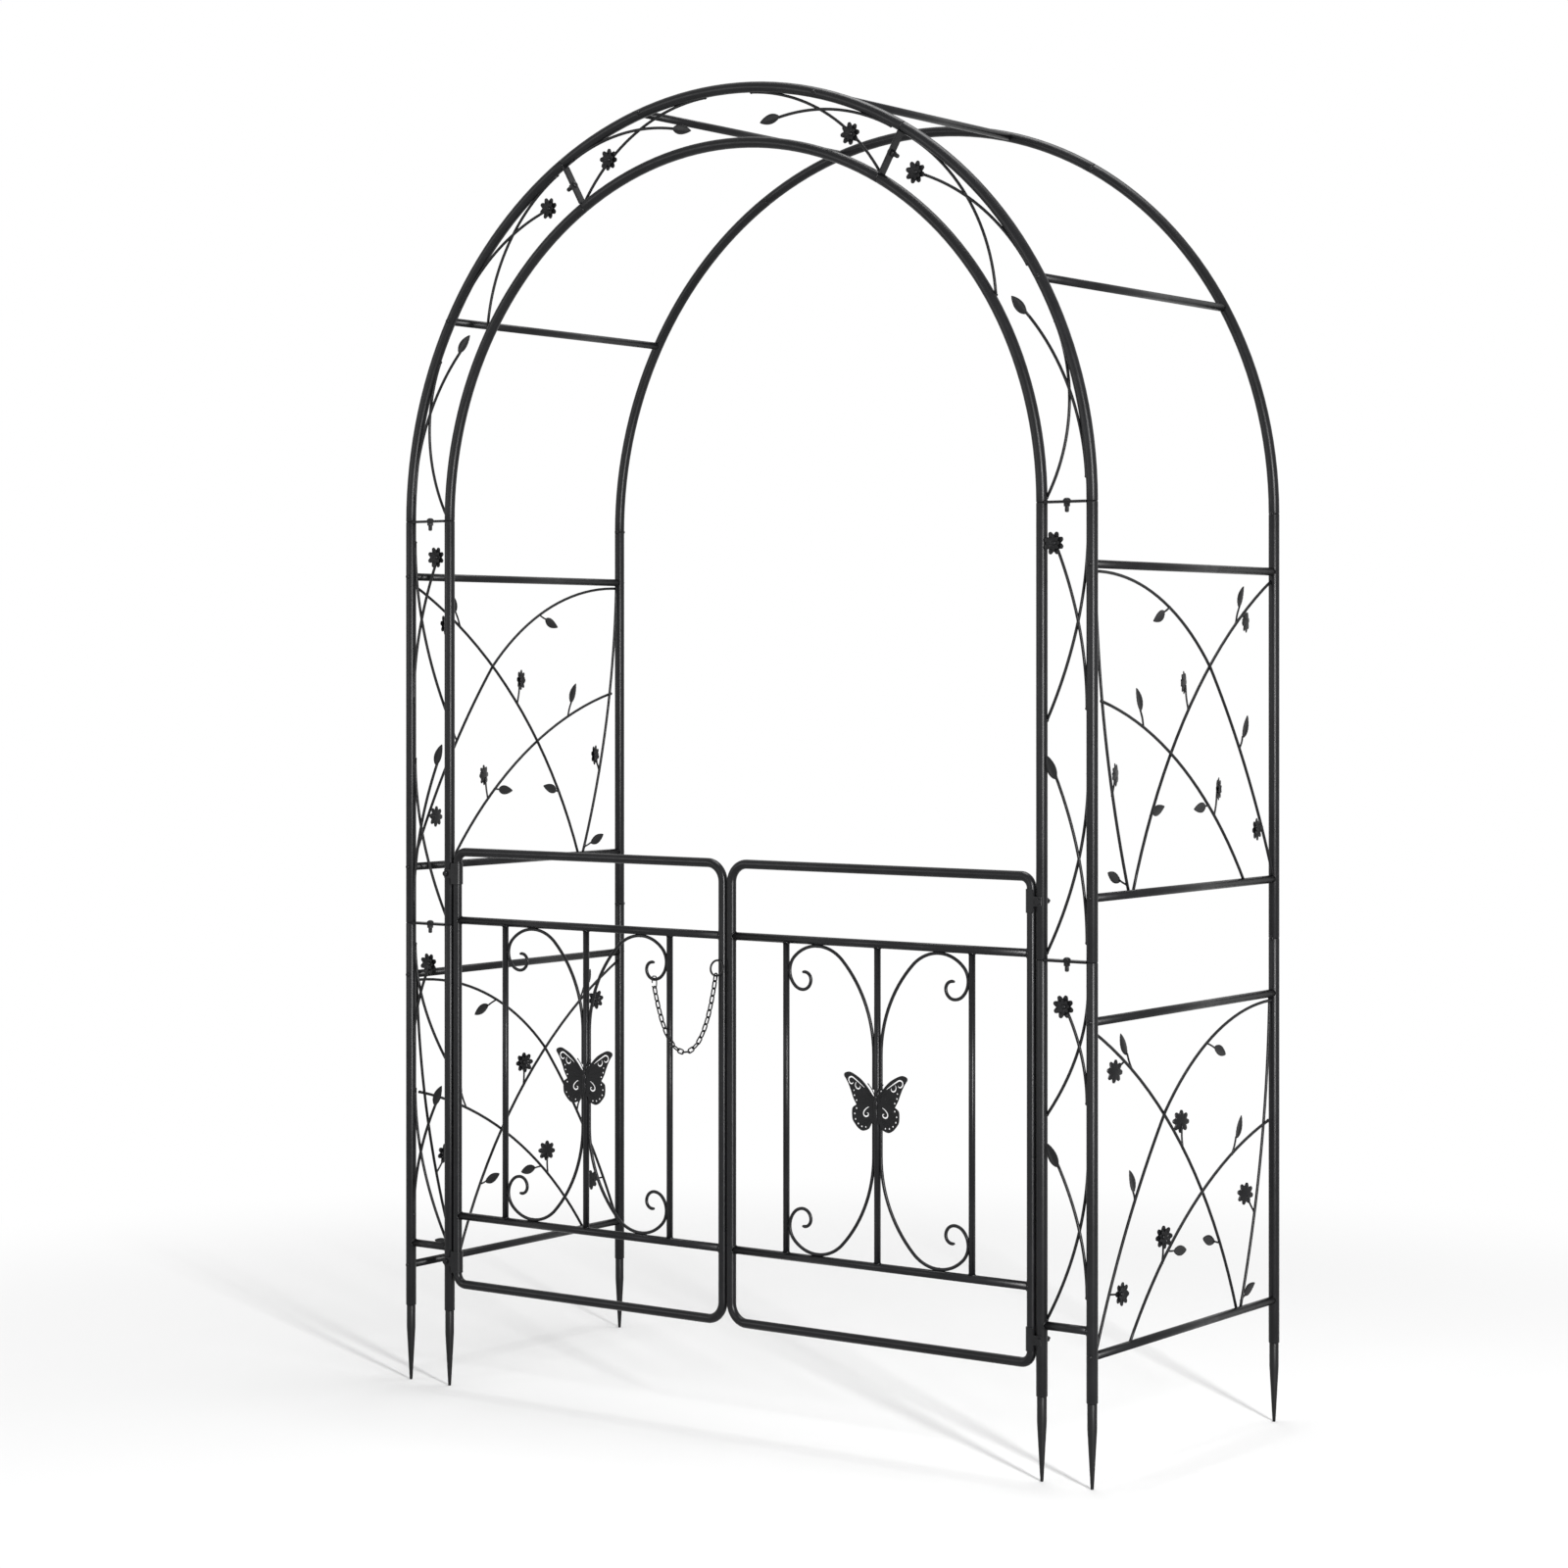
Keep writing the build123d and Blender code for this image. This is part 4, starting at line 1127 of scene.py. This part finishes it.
# Open hook, by the way down from its seat and the way out
hook_line = (
    (6.3, -5), (0, -5), (-4.6, -3.6), (-5.1, 0), (-4.6, 3.6), (0, 5),
    (9, 5), (13.4, 3.2), (14, 0), (13.2, -3.4), (11, -5),
)
soup = Soup()
path = smooth_line([hook_place + down * w + out * v for w, v in hook_line], 6)
sweep(soup, path, hook_wire_r, 12, scales=[0.7] + [1] * (len(path) - 2) + [0.7])
look(soup, "chain_hook", "chain", "chain_metal")

# Floor that fades to white away from the part
floor_half = 60
floor_mesh = bpy.data.meshes.new("floor")
corners = [(x * floor_half, y * floor_half, 0) for x, y in ((-1, -1), (1, -1), (1, 1), (-1, 1))]
floor_mesh.from_pydata(corners, [], [(0, 1, 2, 3)])
floor = bpy.data.objects.new("floor", floor_mesh)
bpy.context.scene.collection.objects.link(floor)
paper = bpy.data.materials.new("paper")
paper.use_nodes = True
tree = paper.node_tree
sheet = tree.nodes["Principled BSDF"]
sheet.inputs["Roughness"].default_value = 0.9
sheet.inputs["Specular IOR Level"].default_value = 0.1
grain = add_node(tree, "TexNoise", {"Scale": 3.0})
shade = add_node(tree, "Mix", {"A": (0.66, 0.66, 0.66, 1), "B": (0.68, 0.68, 0.68, 1)}, data_type="RGBA")
place = add_node(tree, "TexCoord")
away = add_node(tree, "VectorMath", operation="LENGTH")
fade = add_node(tree, "MapRange", {"From Min": 0.9, "From Max": 2.6}, interpolation_type="SMOOTHSTEP")
glow = add_node(tree, "Emission", {"Color": (1, 1, 1, 1), "Strength": 1.0})
fading = add_node(tree, "MixShader")
for source, target in (
    (grain.outputs["Fac"], shade.inputs["Factor"]),
    (shade.outputs["Result"], sheet.inputs["Base Color"]),
    (place.outputs["Object"], away.inputs[0]),
    (away.outputs["Value"], fade.inputs["Value"]),
    (fade.outputs["Result"], fading.inputs["Fac"]),
    (sheet.outputs["BSDF"], fading.inputs[1]),
    (glow.outputs["Emission"], fading.inputs[2]),
    (fading.outputs["Shader"], tree.nodes["Material Output"].inputs["Surface"]),
):
    tree.links.new(source, target)
floor_mesh.materials.append(paper)

# White surroundings, dimmer where they only light the part
world = bpy.data.worlds.new("studio")
bpy.context.scene.world = world
world.use_nodes = True
tree = world.node_tree
back = tree.nodes["Background"]
back.inputs["Color"].default_value = (1, 1, 1, 1)
rays = add_node(tree, "LightPath")
seen = rays.outputs["Is Camera Ray"]
for ray in ("Is Glossy Ray", "Is Transmission Ray"):
    either = add_node(tree, "Math", operation="MAXIMUM")
    tree.links.new(seen, either.inputs[0])
    tree.links.new(rays.outputs[ray], either.inputs[1])
    seen = either.outputs["Value"]
level = add_node(tree, "MapRange", {"To Min": 0.55, "To Max": 1.0})
tree.links.new(seen, level.inputs["Value"])
tree.links.new(level.outputs["Result"], back.inputs["Strength"])


# Soft studio light
def soft_light(name, spot, aim, size, watts):
    """Lamp of a width and height in metres, turned to a place."""
    lamp = bpy.data.lights.new(name, "AREA")
    lamp.shape = "RECTANGLE"
    lamp.size, lamp.size_y = size
    lamp.energy = watts
    thing = bpy.data.objects.new(name, lamp)
    thing.location = spot
    thing.rotation_euler = (Vector(aim) - Vector(spot)).to_track_quat("-Z", "Y").to_euler()
    bpy.context.scene.collection.objects.link(thing)
    thing.visible_camera = False


soft_light("front_strip", (-0.4, -5.0, 1.5), (0, 0, 1.1), (0.5, 3.0), 30)
soft_light("side_strip", (4.4, -2.8, 1.5), (0, 0, 1.1), (0.35, 3.0), 500)
soft_light("left_softbox", (-3.2, -4.2, 2.0), (0, 0, 1.0), (1.2, 2.0), 40)
soft_light("top_softbox", (0.0, 0.5, 5.5), (0, 0, 0.5), (2.4, 2.4), 170)

# Camera at the photographed angle
camera_data = bpy.data.cameras.new("camera")
camera_data.sensor_width = 36.0
camera_data.lens = 79.776
camera_data.shift_y = -0.0782
camera_data.clip_end = 300.0
camera = bpy.data.objects.new("camera", camera_data)
camera.location = (3.34766, -4.74580, 1.23544)
camera.rotation_euler = (radians(90), 0, radians(35.914))
bpy.context.scene.collection.objects.link(camera)
bpy.context.scene.camera = camera
bpy.context.scene.view_settings.view_transform = "Standard"

bpy.context.view_layer.update()
